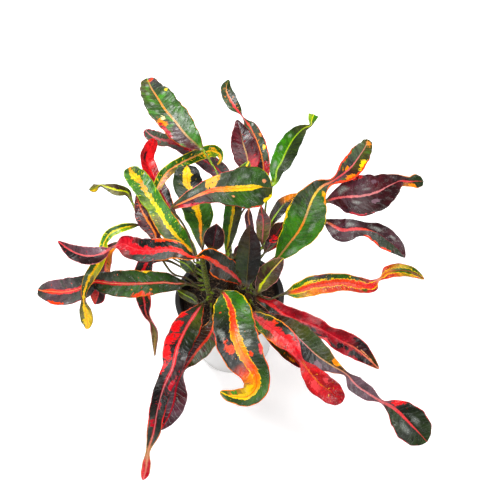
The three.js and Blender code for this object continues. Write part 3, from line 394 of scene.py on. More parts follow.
        edge="40 yellow, 50 orange, 62 vermilion, 80 vermilion, 92 olive",
        edge_width="10 .5, 40 .6, 55 .8, 64 2.4, 78 2.2, 86 .8, 100 .6", clouds=".28 green", vein=".05",
        sheen=0.8, under="purple",
        patches="22 .62 9 3 pale .5, 36 .5 5 2.4 pale .4, 38 -.6 6 2.4 pale .2, 53 .7 4 3 amber, "
            "50 .9 5 1.3 orange, 80 .75 7 3 yellow, 97 .3 5 3 orange, 71 -.2 4 2.4 orange, "
            "70 .7 5 2.4 orange, 36 -.93 8 1 yellow"),
    "right_maroon": dict(
        stem="right", height=165,
        path="62 13 173, 90 32 183 1.3, 108 45 187 2.5, 119 45 191 10, 129 43 194 17.5, "
            "144 41 196 21.5, 159 45 196 19.2, 176 57 193 13 5, 190 65 190 6 30, 197 65 188 5.5 10, "
            "206 68 185 7.6, 214 70 182 5",
        left="42 plum, 54 maroon, 62 purple, 72 maroon, 84 wine, 90 wine, 92 dark",
        right="42 plum, 52 purple, 62 wine, 80 wine, 88 maroon, 90 orange, 92 dark",
        rib="42 salmon, 66 pink, 80 pink, 88 salmon, 94 salmon, 100 dark",
        rib_width="42 1, 56 1.2, 70 1, 78 .6, 84 .3, 89 1, 95 .5", ragged=0.6,
        edge="60 crimson, 70 wine, 86 peach, 94 orange, 100 dark", edge_width="84 .3, 90 1, 100 .5",
        clouds=".3 wine", sheen=1.2,
        patches="63 -.93 6 1.8 scarlet, 52 .5 7 4.5 wine, 60 .93 7 1.4 crimson, 93 .7 4 2 orange, "
            "54 -.5 6 3.6 pale .8, 60 .3 5 2 pale .7, 66 -.3 5 1.6 pale .5, 72 -.6 5 2 plum, "
            "68 .4 5 2 plum"),
    "right_low_maroon": dict(
        stem="right", height=147,
        path="67 13 156, 92 29 163 1.3, 106 34 167 3, 114 25 170 8.6, 123 17 172 12.8, 135 17 173 9.4, "
            "146 15 173 7.4 5, 157 11 171 10.4, 167 5 166 11, 177 -2 160 7.5, 184 -9 153",
        left="45 wine, 60 purple, 80 wine, 92 purple, 100 wine",
        right="45 wine, 58 purple, 68 wine, 78 slate, 90 dark, 100 slate",
        rib="45 tan, 58 salmon, 68 salmon, 74 vermilion, 80 maroon",
        rib_width="45 .6, 55 1.5, 68 1.7, 73 1.1, 76 .4, 100 .3", ragged=0.4,
        edge="45 purple, 74 wine, 90 maroon, 100 plum", edge_width="45 .2, 74 .3", clouds=".35 wine",
        sheen=1.8,
        patches="76 .9 5 1.3 vermilion, 82 .92 6 1.2 vermilion, 88 .92 6 1.1 vermilion, "
            "66 -.5 5 1.8 pale .7, 78 -.4 6 2 pale .8, 88 -.5 4 1.4 pale .7, 57 .5 4 2 pale .5"),
    "right_orange": dict(
        stem="right", height=127,
        path="41 -35 131 1.3, 59 -31 134 2, 70 -32 138 7.6, 89 -29 142 10.3, 105 -29 144 10, "
            "120 -29 144 8.6, 135 -32 142 8, 147 -32 139 6.6 10, 157 -22 137 3.5 60, "
            "166 -14 136 6.5 10, 178 -10 134 7.2, 190 -10 131 6.2, 199 -12 127 4.2, 207 -15 122",
        left="15 olive, 25 vivid, 36 green, 42 slate, 50 green, 58 dark, 64 salmon, 74 pink, "
            "80 vermilion, 86 yellow, 92 green",
        right="26 vivid, 34 orange, 44 vermilion, 54 vermilion, 66 scarlet, 74 scarlet, 82 vermilion, "
            "90 yellow, 96 scarlet",
        rib="10 khaki, 20 orange, 30 vermilion, 56 vermilion, 66 scarlet, 78 orange, 84 green, 96 olive",
        rib_width="10 .8, 22 1.6, 30 2.4, 40 3, 55 3.6, 64 3, 74 1.6, 82 2, 92 2.2, 100 .6", ragged=0.5,
        line="crimson", halo="yellow", edge="15 yellow, 50 orange, 66 crimson, 78 vermilion, 92 tan",
        edge_width="15 .8, 36 .9, 50 .6, 66 .7, 80 1, 100 .6", flecks=".16 yellow",
        patches="40 -.9 5 1.6 purple, 36 -.45 14 .8 yellow, 62 .55 1.8 1.5 olive, 60 .1 4 1.6 pink, "
            "88 0 7 1.3 green, 94 .1 3 1 yellow", under="vermilion"),
    "front_crimson": dict(
        stem="right", height=120,
        path="30 -27 123 3, 43 -35 122 7, 56 -47 120 9.5, 72 -56 119 10.5, 88 -63 117 9.5, "
            "99 -69 114 8 20, 112 -77 110 11.4 5, 126 -83 104 11.2, 137 -91 98 7.4, 149 -100 89",
        left="5 dark, 14 crimson, 72 crimson, 80 wine, 88 wine, 100 olive",
        right="5 dark, 30 soot, 44 wine, 56 crimson, 90 crimson, 100 olive",
        rib="5 crimson, 20 scarlet, 50 crimson, 70 crimson, 90 peach",
        rib_width="5 1, 18 2, 30 1.2, 55 1.6, 70 1, 85 .7, 100 .5", ragged=0.5, line="salmon",
        edge="5 peach, 28 pink, 50 pink, 66 scarlet, 86 salmon, 100 peach",
        edge_width="5 .4, 30 .5, 58 .9, 70 .6", flecks=".04 scarlet", sheen=0.2,
        patches="55 .7 7 1.6 soot, 66 .75 4 1.4 soot, 70 .5 2.6 2.8 soot, 75 .4 3 2 soot, "
            "80 .6 4.4 3 soot, 86 .5 5 3 soot, 92 .5 4 2 soot, 32 .5 7 1.6 soot, 42 .5 7 1.8 soot, "
            "51 .4 5 1.6 soot, 60 .9 7 1.6 salmon, 80 -.75 8 1.8 soot, 88 -.2 8 .5 peach"),
    "front_long_olive": dict(
        stem="right", height=104,
        path="31 -36 114 2, 43 -60 129 7, 58 -77 139 11, 71 -97 143 14.5, 84 -113 142 13, "
            "97 -122 138 7, 109 -129 134 2.8 30, 117 -138 129 8, 128 -144 122 7, 141 -150 115 2.4 40, "
            "151 -154 110 8, 159 -159 104 14.4, 168 -166 96 17, 177 -173 88 14, 183 -178 82 5.5",
        left="10 dark, 26 brown, 36 olive, 44 dark, 52 olive, 58 brown, 64 plum, 78 plum, 84 black, "
            "100 dark",
        right="10 brown, 30 black, 40 soot, 48 black, 54 plum, 76 plum, 82 dark, 92 slate, 98 dark",
        rib="10 salmon, 40 pink, 54 tan, 64 pink, 72 pink, 84 salmon",
        rib_width="10 .5, 40 .4, 60 .7, 70 .8, 78 1.4, 86 1.4, 93 .7, 97 .2", ragged=0.2,
        edge="10 salmon, 40 maroon, 54 orange, 62 plum, 76 crimson, 88 scarlet, 96 crimson, 100 dark",
        edge_width="10 .4, 50 .3, 54 .6, 66 .3, 82 .6", flecks=".03 crimson", clouds=".25 black",
        vein=".08 pale", sheen=0.6,
        patches="90 .4 8 3 pale .5, 91 -.35 7 3 pale .5, 55 -.7 5 2 orange, 57 -.9 3 1.2 yellow, "
            "82 -.8 5 3.6 scarlet, 50 .55 5 3 plum, 39 .5 5 2 purple"),
    "front_red": dict(
        stem="right", height=97,
        path="23 -40 119 2, 29 -60 134 7, 40 -78 145 10.5, 50 -92 150 11, 59 -103 151 8.3, "
            "67 -120 149 3.2 40, 74 -130 144 8.6 10, 82 -139 138 11.4 5, 92 -144 130 11, "
            "100 -149 123 7.4, 103 -151 120 3.4",
        left="36 olive, 44 dark, 52 black, 57 black, 61 crimson, 78 scarlet, 100 crimson",
        right="10 olive, 36 vivid, 46 olive, 52 vermilion, 62 salmon, 80 scarlet, 100 crimson",
        rib="10 vermilion, 36 salmon, 60 scarlet, 70 crimson, 76 orange",
        rib_width="10 1, 30 2.6, 40 4, 52 4.6, 62 4, 70 1.4, 76 .5, 90 .4, 93 .1", ragged=0.7,
        line="crimson", edge="10 orange, 38 yellow, 50 orange, 60 salmon, 72 crimson",
        edge_width="10 .6, 42 1, 52 .8, 62 1.4, 74 .4", flecks=".06 yellow", sheen=1.3,
        clouds=".2 scarlet",
        patches="44 -.5 4 3.4 vermilion, 55 -.5 5 2.8 slate, 58 -.7 5 2.8 pale .9, 84 .4 6 3.4 salmon, "
            "86 -.5 5 2.4 salmon, 66 -.6 5 2 salmon", under="maroon"),
    "front_under_brown": dict(
        stem="right", height=90,
        path="27 -41 102 1.6, 37 -59 109 5, 47 -74 112 7, 57 -86 110 7.5, 65 -96 107 5, 70 -103 105",
        blade="30 wine, 60 soot, 75 olive, 90 maroon", rib="30 crimson, 100 vermilion", rib_width="30 .6",
        edge="30 orange, 70 vermilion, 100 crimson", edge_width="30 .6", flecks=".12 crimson",
        patches="86 .4 5 1.2 orange"),
    "front_hooked": dict(
        stem="left", height=131, cup=0.15,
        path="-15 -24 139 1.3, -6 -33 147 2, -1 -44 152 11, 4 -65 158 18, 6 -87 162 20.2, "
            "10 -108 162 20, 16 -121 158 17.8, 23 -132 152 13.6, 24 -141 144 12, 16 -147 136 9.6, "
            "5 -144 130 7.2, -4 -139 125 5, -11 -133 122 1.8",
        left="10 green, 28 vivid, 40 green, 50 dark, 58 slate, 66 dark, 78 green, 90 dark, 100 green",
        right="26 green, 36 dark, 46 black, 62 black, 67 vermilion, 75 orange, 84 yellow, 92 orange, "
            "96 green",
        rib="5 brown, 16 salmon, 34 vermilion, 44 vermilion, 50 orange, 58 orange, 66 vermilion, "
            "74 orange, 84 yellow",
        rib_width="8 .4, 18 1.4, 30 2.4, 42 3.4, 52 4.4, 60 4, 66 3.2, 74 2.6, 84 2.4, 90 1.2, 94 0",
        ragged=0.5, line="vermilion", halo="yellow",
        edge="30 yellow, 38 orange, 46 salmon, 60 orange, 70 vermilion, 90 orange",
        edge_width="10 .8, 28 1.1, 40 .7, 60 .8, 80 .7, 100 .8", sheen=1, flecks=".02 orange",
        patches="32 .62 1.6 1.2 vermilion, 61 -.35 2 1.6 vermilion, 62 -.9 4 1.8 salmon, "
            "42 .85 9 3 slate, 54 .42 5 4 vermilion, 55 -.4 4 5 pale .8, 47 .66 6 3 pale .7, "
            "73 .3 8 4 orange, 81 .4 8 4 yellow, 92 .5 4 2 vivid", under="khaki"),
    "front_left_long": dict(
        stem="left", height=124,
        path="-26 -35 131 2, -33 -51 137 8, -42 -74 144 14, -50 -98 147 13.4, -54 -116 144 10, "
            "-63 -133 137 8.4, -70 -150 125 7.6, -75 -166 112 6.5 5, -81 -179 100 2.6 30, "
            "-83 -188 94 4.3 10, -85 -194 88 4.4, -88 -199 82 1.4",
        left="10 green, 20 olive, 30 dark, 40 black, 52 wine, 60 soot, 74 black, 82 slate, 86 tan, "
            "92 salmon",
        right="10 dark, 18 slate, 28 slate, 40 soot, 66 soot, 76 slate, 84 slate, 87 tan, 92 salmon",
        rib="8 crimson, 20 salmon, 40 scarlet, 54 crimson, 64 wine, 78 crimson, 88 tan, 100 salmon",
        rib_width="8 .5, 16 1.6, 30 1.4, 42 1.8, 54 1.6, 62 .8, 78 1, 88 1.2, 100 .6", ragged=0.35,
        line="pink", edge="22 vermilion, 34 crimson, 60 wine, 72 scarlet, 84 tan",
        edge_width="10 .5, 24 .8, 36 .5, 56 .4, 74 .9, 100 .5", flecks=".05 crimson", sheen=0.3,
        patches="22 .82 6 2 scarlet, 29 .66 9 4.8 scarlet, 37 .74 8 4.2 scarlet, 33 .35 3 2.4 scarlet, "
            "42 .72 8 3.6 scarlet, 49 .85 7 1.6 scarlet, 66 -.1 2.4 1.4 crimson, 74 .5 4 2.2 crimson, "
            "56 -.7 9 2 crimson, 94 -.5 6 1.6 crimson", under="wine"),
    "front_left_purple": dict(
        stem="left", height=108,
        path="-19 -37 117 1.4, -16 -57 125 6, -21 -75 129 11, -30 -88 130 11, -39 -100 128 7, "
            "-46 -110 125 3 50, -53 -122 120 9.8 5, -56 -133 112 12.2, -62 -145 103 8.8, "
            "-71 -155 94 1.5",
        left="34 olive, 48 grey, 58 olive, 66 plum, 78 maroon, 88 plum, 100 maroon",
        right="20 dark, 34 brown, 50 wine, 60 maroon, 68 plum, 84 plum, 94 maroon",
        rib="20 salmon, 50 vermilion, 62 salmon, 72 crimson",
        rib_width="20 .8, 40 1.3, 60 1, 76 .9, 100 .5", ragged=0.2,
        edge="20 orange, 40 peach, 64 pink, 84 plum", edge_width="20 .4", vein=".3 pale",
        clouds=".3 purple", sheen=0.6, flecks=".03 orange", under="purple"),
    "small_low_olive": dict(
        stem="left", height=118,
        path="-30 -30 123 1.5, -39 -25 128 5, -46 -22 131 4.5, -53 -16 131 1",
        blade="30 dark, 80 olive", rib="30 lime", rib_width="30 .5", edge="30 khaki", edge_width="30 .3",
        under="dark"),
    "small_left_green": dict(
        stem="left", height=151,
        path="-30 -21 158, -33 -21 166 2, -35 -20 171 6, -40 -16 174 6, -46 -13 175 1",
        blade="20 green, 80 grey", rib="20 lime", rib_width="20 .6", edge="20 lemon", edge_width="20 .4",
        flecks=".1 lemon", under="khaki"),
    "right_small_orange": dict(
        stem="right", height=170,
        path="45 7 188 1.3, 48 11 197 3.5, 54 18 202 6, 62 27 205 7.2, 71 34 206 5.5, 80 40 206 1",
        left="55 brown, 70 slate, 84 orange, 92 orange, 100 vermilion",
        right="30 wine, 60 black, 80 slate, 92 orange, 100 vermilion", rib="60 lime, 80 olive",
        rib_width="30 .9, 60 .7, 80 .3", edge="30 lime, 70 brown, 90 peach", edge_width="30 .5", sheen=0.4,
        patches="84 -.3 4 3 orange"),
    "right_small_dark": dict(
        stem="right", height=158,
        path="39 -2 164 1.3, 45 6 167 6, 51 15 169 10.5, 58 28 167 8, 64 40 164",
        blade="20 brown, 50 wine, 80 brown", rib="20 maroon, 100 crimson", rib_width="20 .4",
        edge="20 salmon, 60 orange, 100 peach", edge_width="20 .4, 100 .6",
        patches="55 .1 4 3.4 scarlet, 60 .6 4 2 orange, 42 .7 5 1.2 crimson, 66 .3 3 3 brown"),
    "young_beige": dict(
        stem="right", height=134, cup=0.2,
        path="30 -38 147 1.8, 35 -36 158 7, 44 -31 170 10.5, 52 -27 178 7, 58 -24 183",
        left="20 khaki, 50 brown, 75 brown, 100 khaki", right="55 khaki, 80 brown",
        rib="20 lime, 55 lemon, 70 vivid, 85 pink", rib_width="20 .6, 48 1.3, 60 1, 100 .4", ragged=0.8,
        line="lemon", edge="20 pale, 60 pink", edge_width="20 .4", vein=".15", flecks=".2 brown",
        clouds=".35 olive", sheen=0.4, under="brown"),
    "upright_dark": dict(
        stem="right", height=139, cup=0.3,
        path="20 -36 157 2, 21 -35 172 8, 23 -29 187 12, 25 -23 201 11.5, 26 -17 213 7.5, 27 -11 221",
        left="60 dark, 100 brown", right="20 soot, 60 black, 100 wine", rib="20 olive, 100 brown",
        rib_width="20 .4", edge="20 green, 100 brown", edge_width="20 .3", clouds=".3 black",
        under="black"),
    "small_centre_grey": dict(
        stem="rear", height=136,
        path="8 6 151 1.4, 14 8 160 5, 19 9 166 4, 23 13 171 1",
        blade="30 plum, 90 purple", rib="30 pink", rib_width="30 .4", edge="30 crimson",
        edge_width="30 .5", sheen=0.4),
    "young_purple": dict(
        stem="right", height=187, cup=0.3,
        path="27 -8 198 1.6, 27 -3 207 4, 26 3 217 4, 27 7 225 1",
        blade="20 brown, 60 plum, 100 brown", rib="20 pink, 100 peach", rib_width="20 .6", edge="20 pink",
        edge_width="20 .4", flecks=".12 maroon", vein=".2", sheen=0.3, under="brown"),
    "young_pink_veins": dict(
        stem="right", height=183, cup=0.25,
        path="38 -11 193 2, 39 -7 202 6.5, 40 -1 214 7, 39 5 222 3, 39 8 226 1",
        blade="20 olive, 50 khaki, 80 plum, 100 khaki", rib="20 pink, 100 salmon",
        rib_width="20 .6, 100 .4", edge="20 pink", edge_width="20 .3", flecks=".2 brown", vein=".4",
        under="khaki"),
}

LEAF_LOOK = dict(ragged=0.3, line=None, halo=None, flecks="0 black", clouds="0 black", vein="0",
                 sheen=0.2, stalk="olive", under="maroon", patches="")


# Numbers and curves

def linear(name):
    """A named colour as Blender's linear values."""
    if name in LINEAR_COLOURS:
        return [*LINEAR_COLOURS[name], 1.0]
    code = COLOURS[name]
    parts = [int(code[i:i + 2], 16) / 255 for i in (1, 3, 5)]
    return [p / 12.92 if p <= 0.04045 else ((p + 0.055) / 1.055) ** 2.4 for p in parts] + [1.0]


def smooth(value, low, high):
    """0 below low, 1 above high, and a smooth step between."""
    t = np.clip((value - low) / (high - low), 0, 1)
    return t * t * (3 - 2 * t)


def bell(distance, reach):
    """1 at no distance, about a third at the reach and almost 0 at twice the reach."""
    return np.exp(-((distance / reach) ** 2))


def stops(text):
    """Shares along a leaf and what holds there, from text such as "40 olive, 52 tan"."""
    pairs = [part.split() for part in text.split(",")]
    return [(float(place) / 100, value) for place, value in pairs]


def between(text, share):
    """A width at a share along, on straight lines between its stops."""
    pairs = stops(text)
    return np.interp(share, [place for place, _ in pairs], [float(value) for _, value in pairs])


def unit(vectors):
    """Vectors of the same directions and of length 1."""
    return vectors / np.linalg.norm(vectors, axis=-1, keepdims=True)


def smooth_slopes(steps, chords):
    """Slopes of a smooth curve through points: the chords on each side, weighed by distance."""
    inner = (chords[:-1] * steps[1:] + chords[1:] * steps[:-1]) / (steps[:-1] + steps[1:])
    return np.concatenate([chords[:1], inner, chords[-1:]])


def bounded_slopes(_, chords):
    """Slopes that never overshoot the values, for widths and rolls."""
    product = chords[:-1] * chords[1:]
    total = np.where(product > 0, chords[:-1] + chords[1:], 1.0)
    inner = np.where(product > 0, 2 * product / total, 0.0)
    return np.concatenate([chords[:1], inner, chords[-1:]])


class PathCurve:
    """A curve through path rows: where it is, and its width and roll, at distances along it."""

    def __init__(self, rows):
        self.rows = np.array(rows, float)
        steps = np.linalg.norm(np.diff(self.rows[:, :3], axis=0), axis=1)
        self.lengths = np.concatenate([[0], np.cumsum(steps)])
        self.total = self.lengths[-1]
        gaps = np.diff(self.lengths)
        makers = [smooth_slopes] * 3 + [bounded_slopes] * 2
        slopes = [make(gaps, np.diff(part) / gaps) for make, part in zip(makers, self.rows.T)]
        self.slopes = np.array(slopes).T

    def at(self, s):
        """The rows at distances along the curve."""
        s = np.clip(s, 0, self.total)
        i = np.clip(np.searchsorted(self.lengths, s) - 1, 0, len(self.lengths) - 2)
        h = (self.lengths[i + 1] - self.lengths[i])[:, None]
        t = (s - self.lengths[i])[:, None] / h
        a = 2 * t**3 - 3 * t**2 + 1
        b = t**3 - 2 * t**2 + t
        c = t**3 - t**2
        ends = a * self.rows[i] + (1 - a) * self.rows[i + 1]
        return ends + h * (b * self.slopes[i] + c * self.slopes[i + 1])


# Meshes and pieces

def quads(grid):
    """Faces between the rows and columns of a grid of point numbers."""
    corners = grid[:-1, :-1], grid[:-1, 1:], grid[1:, 1:], grid[1:, :-1]
    return np.stack(corners, -1).reshape(-1, 4).tolist()


def ring(sides, radius, z):
    """Points round the vertical axis, at a height or at one worked out from x and y."""
    angle = np.linspace(0, 2 * np.pi, sides, endpoint=False)
    x, y = radius * np.cos(angle), radius * np.sin(angle)
    return np.stack([x, y, z(x, y) if callable(z) else np.full(sides, z)], 1)


def ring_faces(rings, sides, first=0):
    """Faces between rings of points."""
    grid = first + np.arange(rings * sides).reshape(rings, sides)
    return quads(np.hstack([grid, grid[:, :1]]))


def tube_faces(rings, sides, first=0):
    """Faces between rings of points, with both ends closed."""
    last = first + (rings - 1) * sides
    ends = [list(range(first, first + sides))[::-1], list(range(last, last + sides))]
    return ring_faces(rings, sides, first) + ends


def slab_faces(count, row):
    """Faces of a slab: a grid on top, the same one below, and its edges and ends."""
    top = np.arange(count * row).reshape(count, row)
    low = top + count * row
    edges = (top[:, 0], low[:, 0]), (low[:, -1], top[:, -1])
    ends = (top[0], low[0]), (low[-1], top[-1])
    grids = [top, low.T]
    grids += [np.stack(edge) for edge in edges]
    grids += [np.stack(end, 1) for end in ends]
    return [face for grid in grids for face in quads(grid)]


def new_object(name, points, faces, measures=None, crease=None):
    """A smooth mesh object from points in millimetres, with sharp edges beyond a crease angle."""
    mesh = bpy.data.meshes.new(name)
    mesh.from_pydata((np.asarray(points) * MM).tolist(), [], faces)
    for key, values in (measures or {}).items():
        kind, field = ("FLOAT_VECTOR", "vector") if values.ndim == 2 else ("FLOAT", "value")
        layer = mesh.attributes.new(key, kind, "POINT")
        layer.data.foreach_set(field, np.ascontiguousarray(values, np.float32).ravel())
    mesh.validate()
    mesh.shade_smooth()
    if crease:
        mesh.set_sharp_from_angle(angle=math.radians(crease))
    made = bpy.data.objects.new(name, mesh)
    bpy.context.scene.collection.objects.link(made)
    return made


def stand_for(made, node, material):
    """The made object, with its material, rides on the plant in place of its solid, which is hidden."""
    made.data.materials.append(material)
    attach(made, "root")
    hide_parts(node)


# Node trees

class Wire:
    """An output of a node that can be reckoned with like a number."""

    def __init__(self, nodes, socket):
        self.nodes = nodes
        self.socket = socket

    def __add__(self, other):
        return self.nodes.calc("ADD", self, other)

    def __sub__(self, other):
        return self.nodes.calc("SUBTRACT", self, other)

    def __rsub__(self, other):
        return self.nodes.calc("SUBTRACT", other, self)

    def __mul__(self, other):
        return self.nodes.calc("MULTIPLY", self, other)

    def __truediv__(self, other):
        return self.nodes.calc("DIVIDE", self, other)

    def step(self, low, high):
        """0 where the value is low or less, 1 where it is high or more."""
        inputs = {0: self, 1: low, 2: high}
        return self.nodes.node("ShaderNodeMapRange", inputs, interpolation_type="SMOOTHSTEP")


class Nodes:
    """A node tree, with short calls that add a node and give the wire of its output."""

    def __init__(self, tree):
        self.tree = tree

    def node(self, kind, inputs, output=0, **settings):
        made = self.tree.nodes.new(kind)
        for key, value in settings.items():
            setattr(made, key, value)
        for key, value in inputs.items():
            self.plug(made.inputs[key], value)
        return Wire(self, made.outputs[output])

    def plug(self, socket, value):
        """Gives a socket a wire, a colour by its name, or a value."""
        if isinstance(value, Wire):
            self.tree.links.new(value.socket, socket)
        else:
            socket.default_value = linear(value) if isinstance(value, str) else value

    def calc(self, operation, a, b=0.0):
        return self.node("ShaderNodeMath", {0: a, 1: b}, operation=operation)

    def split(self, vector):
        """A vector's three parts."""
        first = self.node("ShaderNodeSeparateXYZ", {0: vector})
        return [Wire(self, output) for output in first.socket.node.outputs]

    def place(self, output="Object"):
        """Where a point is, in its object's frame or in another that Blender gives."""
        return self.node("ShaderNodeTexCoord", {}, output)

    def attribute(self, name, output="Fac"):
        return self.node("ShaderNodeAttribute", {}, output, attribute_name=name)

    def noise(self, vector, scale, detail=2.0, roughness=0.5, shift=(0, 0, 0)):
        """Noise of one scale, or stretched by a scale for each direction."""
        if isinstance(scale, tuple):
            stretch = {0: vector, 1: scale, 2: shift}
            vector = self.node("ShaderNodeVectorMath", stretch, operation="MULTIPLY_ADD")
            scale = 1.0
        inputs = {"Vector": vector, "Scale": scale, "Detail": detail, "Roughness": roughness}
        return self.node("ShaderNodeTexNoise", inputs)

    def mix(self, share, first, second, blend="MIX"):
        inputs = {0: share, 6: first, 7: second}
        return self.node("ShaderNodeMix", inputs, 2, data_type="RGBA", blend_type=blend)

    def shade(self, share, colour, factor):
        """The colour made darker or lighter by a factor, as far as share says."""
        return self.mix(share, colour, (factor, factor, factor, 1), "MULTIPLY")

    def ramp(self, share, text):
        """Colours along a share, from text such as "40 olive, 52 tan"."""
        made = self.node("ShaderNodeValToRGB", {0: share})
        elements = made.socket.node.color_ramp.elements
        pairs = stops(text)
        while len(elements) > len(pairs):
            elements.remove(elements[-1])
        while len(elements) < len(pairs):
            elements.new(1.0)
        for element, (place, _) in zip(elements, pairs):
            element.position = place
        for element, (_, name) in zip(elements, pairs):
            element.color = linear(name)
        return made

    def bump(self, height, depth, below=None):
        inputs = {"Height": height, "Distance": depth * MM, "Strength": 1.0}
        if below is not None:
            inputs["Normal"] = below
        return self.node("ShaderNodeBump", inputs)


class Pattern(Nodes):
    """The nodes of one material."""

    def __init__(self, name, roughness=0.4, specular=0.4):
        self.material = bpy.data.materials.new(name)
        self.material.use_nodes = True
        super().__init__(self.material.node_tree)
        self.shader = self.tree.nodes["Principled BSDF"].inputs
        self.shader["Roughness"].default_value = roughness
        self.shader["Specular IOR Level"].default_value = specular

    def finish(self, colour, roughness=None, normal=None):
        values = {"Base Color": colour, "Roughness": roughness, "Normal": normal}
        for key, value in values.items():
            if value is not None:
                self.plug(self.shader[key], value)
        return self.material


# Leaf form

def stem_radius(height):
    """A stem keeps its foot's radius for a while and then tapers."""
    t = np.clip((height - TAPER_FROM) / (TAPER_TO - TAPER_FROM), 0, 1)
    return STEM_FOOT + (STEM_TIP - STEM_FOOT) * t


def stem_centre(name, height):
    rows = np.array(STEMS[name], float)
    return np.array([np.interp(height, rows[:, 2], rows[:, k]) for k in range(3)])


def path_rows(text):
    """Rows of x, y, z, half width and roll, from a path's text."""
    rows = [[float(part) for part in row.split()] for row in text.split(",")]
    return [row + [STALK_HALF, 0.0][len(row) - 3:] for row in rows]


def leaf_curve(leaf):
    """A stalk leaves its stem square to it and then turns to the leaf's path."""
    path = path_rows(leaf["path"])
    centre = stem_centre(leaf["stem"], leaf["height"])
    away = np.array(path[0][:3]) - centre
    away[2] = 0
    away = unit(away)
    reach = stem_radius(leaf["height"])
    start = centre + away * (reach + STALK_START)
    turn = centre + away * (reach + STALK_TURN)
    turn[2] += STALK_RISE
    return PathCurve([[*start, STALK_BASE_HALF, 0], [*turn, STALK_TURN_HALF, 0], *path])


def blade_frames(curve, s):
    """The blade's centre, its way along and across, its normal and half width.

    A blade faces the light, but for its roll.
    """
    before = curve.at(np.maximum(0, s - FRAME_REACH))[:, :3]
    after = curve.at(np.minimum(curve.total, s + FRAME_REACH))[:, :3]
    along = unit(after - before)
    across = unit(np.cross(along, TO_LIGHT))
    row = curve.at(s)
    roll = np.radians(row[:, 4])[:, None]
    across = across * np.cos(roll) + np.cross(along, across) * np.sin(roll)
    return row[:, :3], along, across, np.cross(across, along), np.maximum(row[:, 3], NARROWEST)


def breadth(w):
    """How fully a blade of this half width is waved, from 0 to 1."""
    return np.minimum(1, w / FULL_WAVE_WIDTH)


def blade_lift(leaf, w, s, c):
    """How far the blade's middle surface stands off its flat section."""
    cup = leaf.get("cup", CUP) * w * np.abs(c) ** CUP_POWER
    phase = 2 * np.pi * s / WAVE_PERIOD + np.where(c > 0, WAVE_SHIFT, 0)
    return cup + leaf.get("wave", WAVE) * breadth(w) * c * c * np.sin(phase)


def fine_relief(w, s, c, seed):
    """Small waves of the margin and swellings between the veins, which the plain form lacks."""
    phase = 2 * np.pi * s / RIPPLE_PERIOD + seed + np.where(c > 0, RIPPLE_SHIFT, 0)
    phase = phase + RIPPLE_DRIFT * np.sin(s / RIPPLE_DRIFT_LENGTH + seed)
    ripple = RIPPLE * np.abs(c) ** 3 * np.sin(phase)
    lean = s - VEIN_LEAN * np.abs(c) * w
    phase = 2 * np.pi * lean / VEIN_SPACING + np.where(c > 0, QUILT_SHIFT, 0)
    phase = phase + QUILT_DRIFT * np.sin(lean / QUILT_DRIFT_LENGTH + seed)
    phase = phase + QUILT_SHAKE * np.sin(lean / QUILT_SHAKE_LENGTH + 2 * seed)
    swell = (QUILT + QUILT_CHANGE * np.sin(lean / QUILT_CHANGE_LENGTH + seed)) * np.sin(phase)
    inside = smooth(np.abs(c), QUILT_STARTS, QUILT_FULL) * (1 - smooth(np.abs(c), QUILT_FADES, 1))
    return breadth(w) * (ripple + swell * inside)


def outline_waves(w, s, seed):
    """Slight swellings of a blade's outline."""
    swell = OUTLINE_SWELL * np.sin(2 * np.pi * s / OUTLINE_SWELL_LENGTH + seed)
    nibble = OUTLINE_NIBBLE * np.sin(s / OUTLINE_NIBBLE_LENGTH + 2 * seed)
    return 1 + breadth(w) * (swell + nibble)


def stalk_share(w):
    """1 where a leaf is so narrow that it is a round stalk."""
    return 1 - smooth(w, STALK_ROUND_TO, STALK_ROUND_FROM)


def half_thickness(w, c):
    """Thin towards the margin, with a rib along the middle, and round where it is a stalk."""
    blade = BLADE_HALF * (1 - MARGIN_THINNER * np.abs(c)) + RIB_HALF * bell(c * w, RIB_WIDTH)
    stalk = STALK_FLATTER * w * np.sqrt(np.maximum(0, 1 - c * c)) + STALK_THINNEST
    round_share = stalk_share(w)
    return blade * (1 - round_share) + stalk * round_share


def tip_narrowing(curve, s):
    """Rounds off the end of a blade, which the plain form cuts square."""
    from_end = np.minimum(1, (curve.total - s) / TIP_ROUND)
    return np.sqrt(np.clip(from_end * (2 - from_end), TIP_HALF_SHARE, 1))


def leaf_stations(curve):
    """Even stations along the blade, closer together where the tip is rounded off."""
    even = np.linspace(0, curve.total - TIP_ROUND, int(curve.total / STATION_STEP))
    turn = np.linspace(0, np.pi / 2, TIP_STATIONS)[1:]
    return np.concatenate([even, curve.total - TIP_ROUND * (1 - np.sin(turn))])


def leaf_mesh(leaf, curve, seed):
    """Points, faces and the measures that the colours are laid out by."""
    stations = leaf_stations(curve)
    centre, along, across, normal, w = blade_frames(curve, stations)
    sunk = STALK_INTO_STEM * (1 - smooth(stations, 0, STALK_INTO_REACH))
    centre = centre - along * sunk[:, None]
    w = w * tip_narrowing(curve, stations) * outline_waves(w, stations, seed)
    w = w * (1 - STALK_SLIMMER * stalk_share(w) * (stations < curve.total / 2))
    lamina = stations[np.argmax(w > LAMINA_HALF)] if (w > LAMINA_HALF).any() else 0
    c = np.linspace(-1, 1, BLADE_CELLS + 1)[None, :]
    s, w, c = np.broadcast_arrays(stations[:, None], w[:, None], c)
    y = c * w
    lift = blade_lift(leaf, w, s, c) + fine_relief(w, s, c, seed)
    groove = GROOVE_DEPTH * np.minimum(1, w / FULL_GROOVE_WIDTH) * bell(y, GROOVE_WIDTH)
    half = half_thickness(w, c)
    middle = centre[:, None, :] + across[:, None, :] * y[..., None]
    sides = [middle + normal[:, None, :] * (lift - groove + side)[..., None] for side in (half, -half)]
    points = np.stack(sides).reshape(-1, 3)
    return points, slab_faces(*s.shape), leaf_measures(leaf, s, s / curve.total, y, w, lamina)


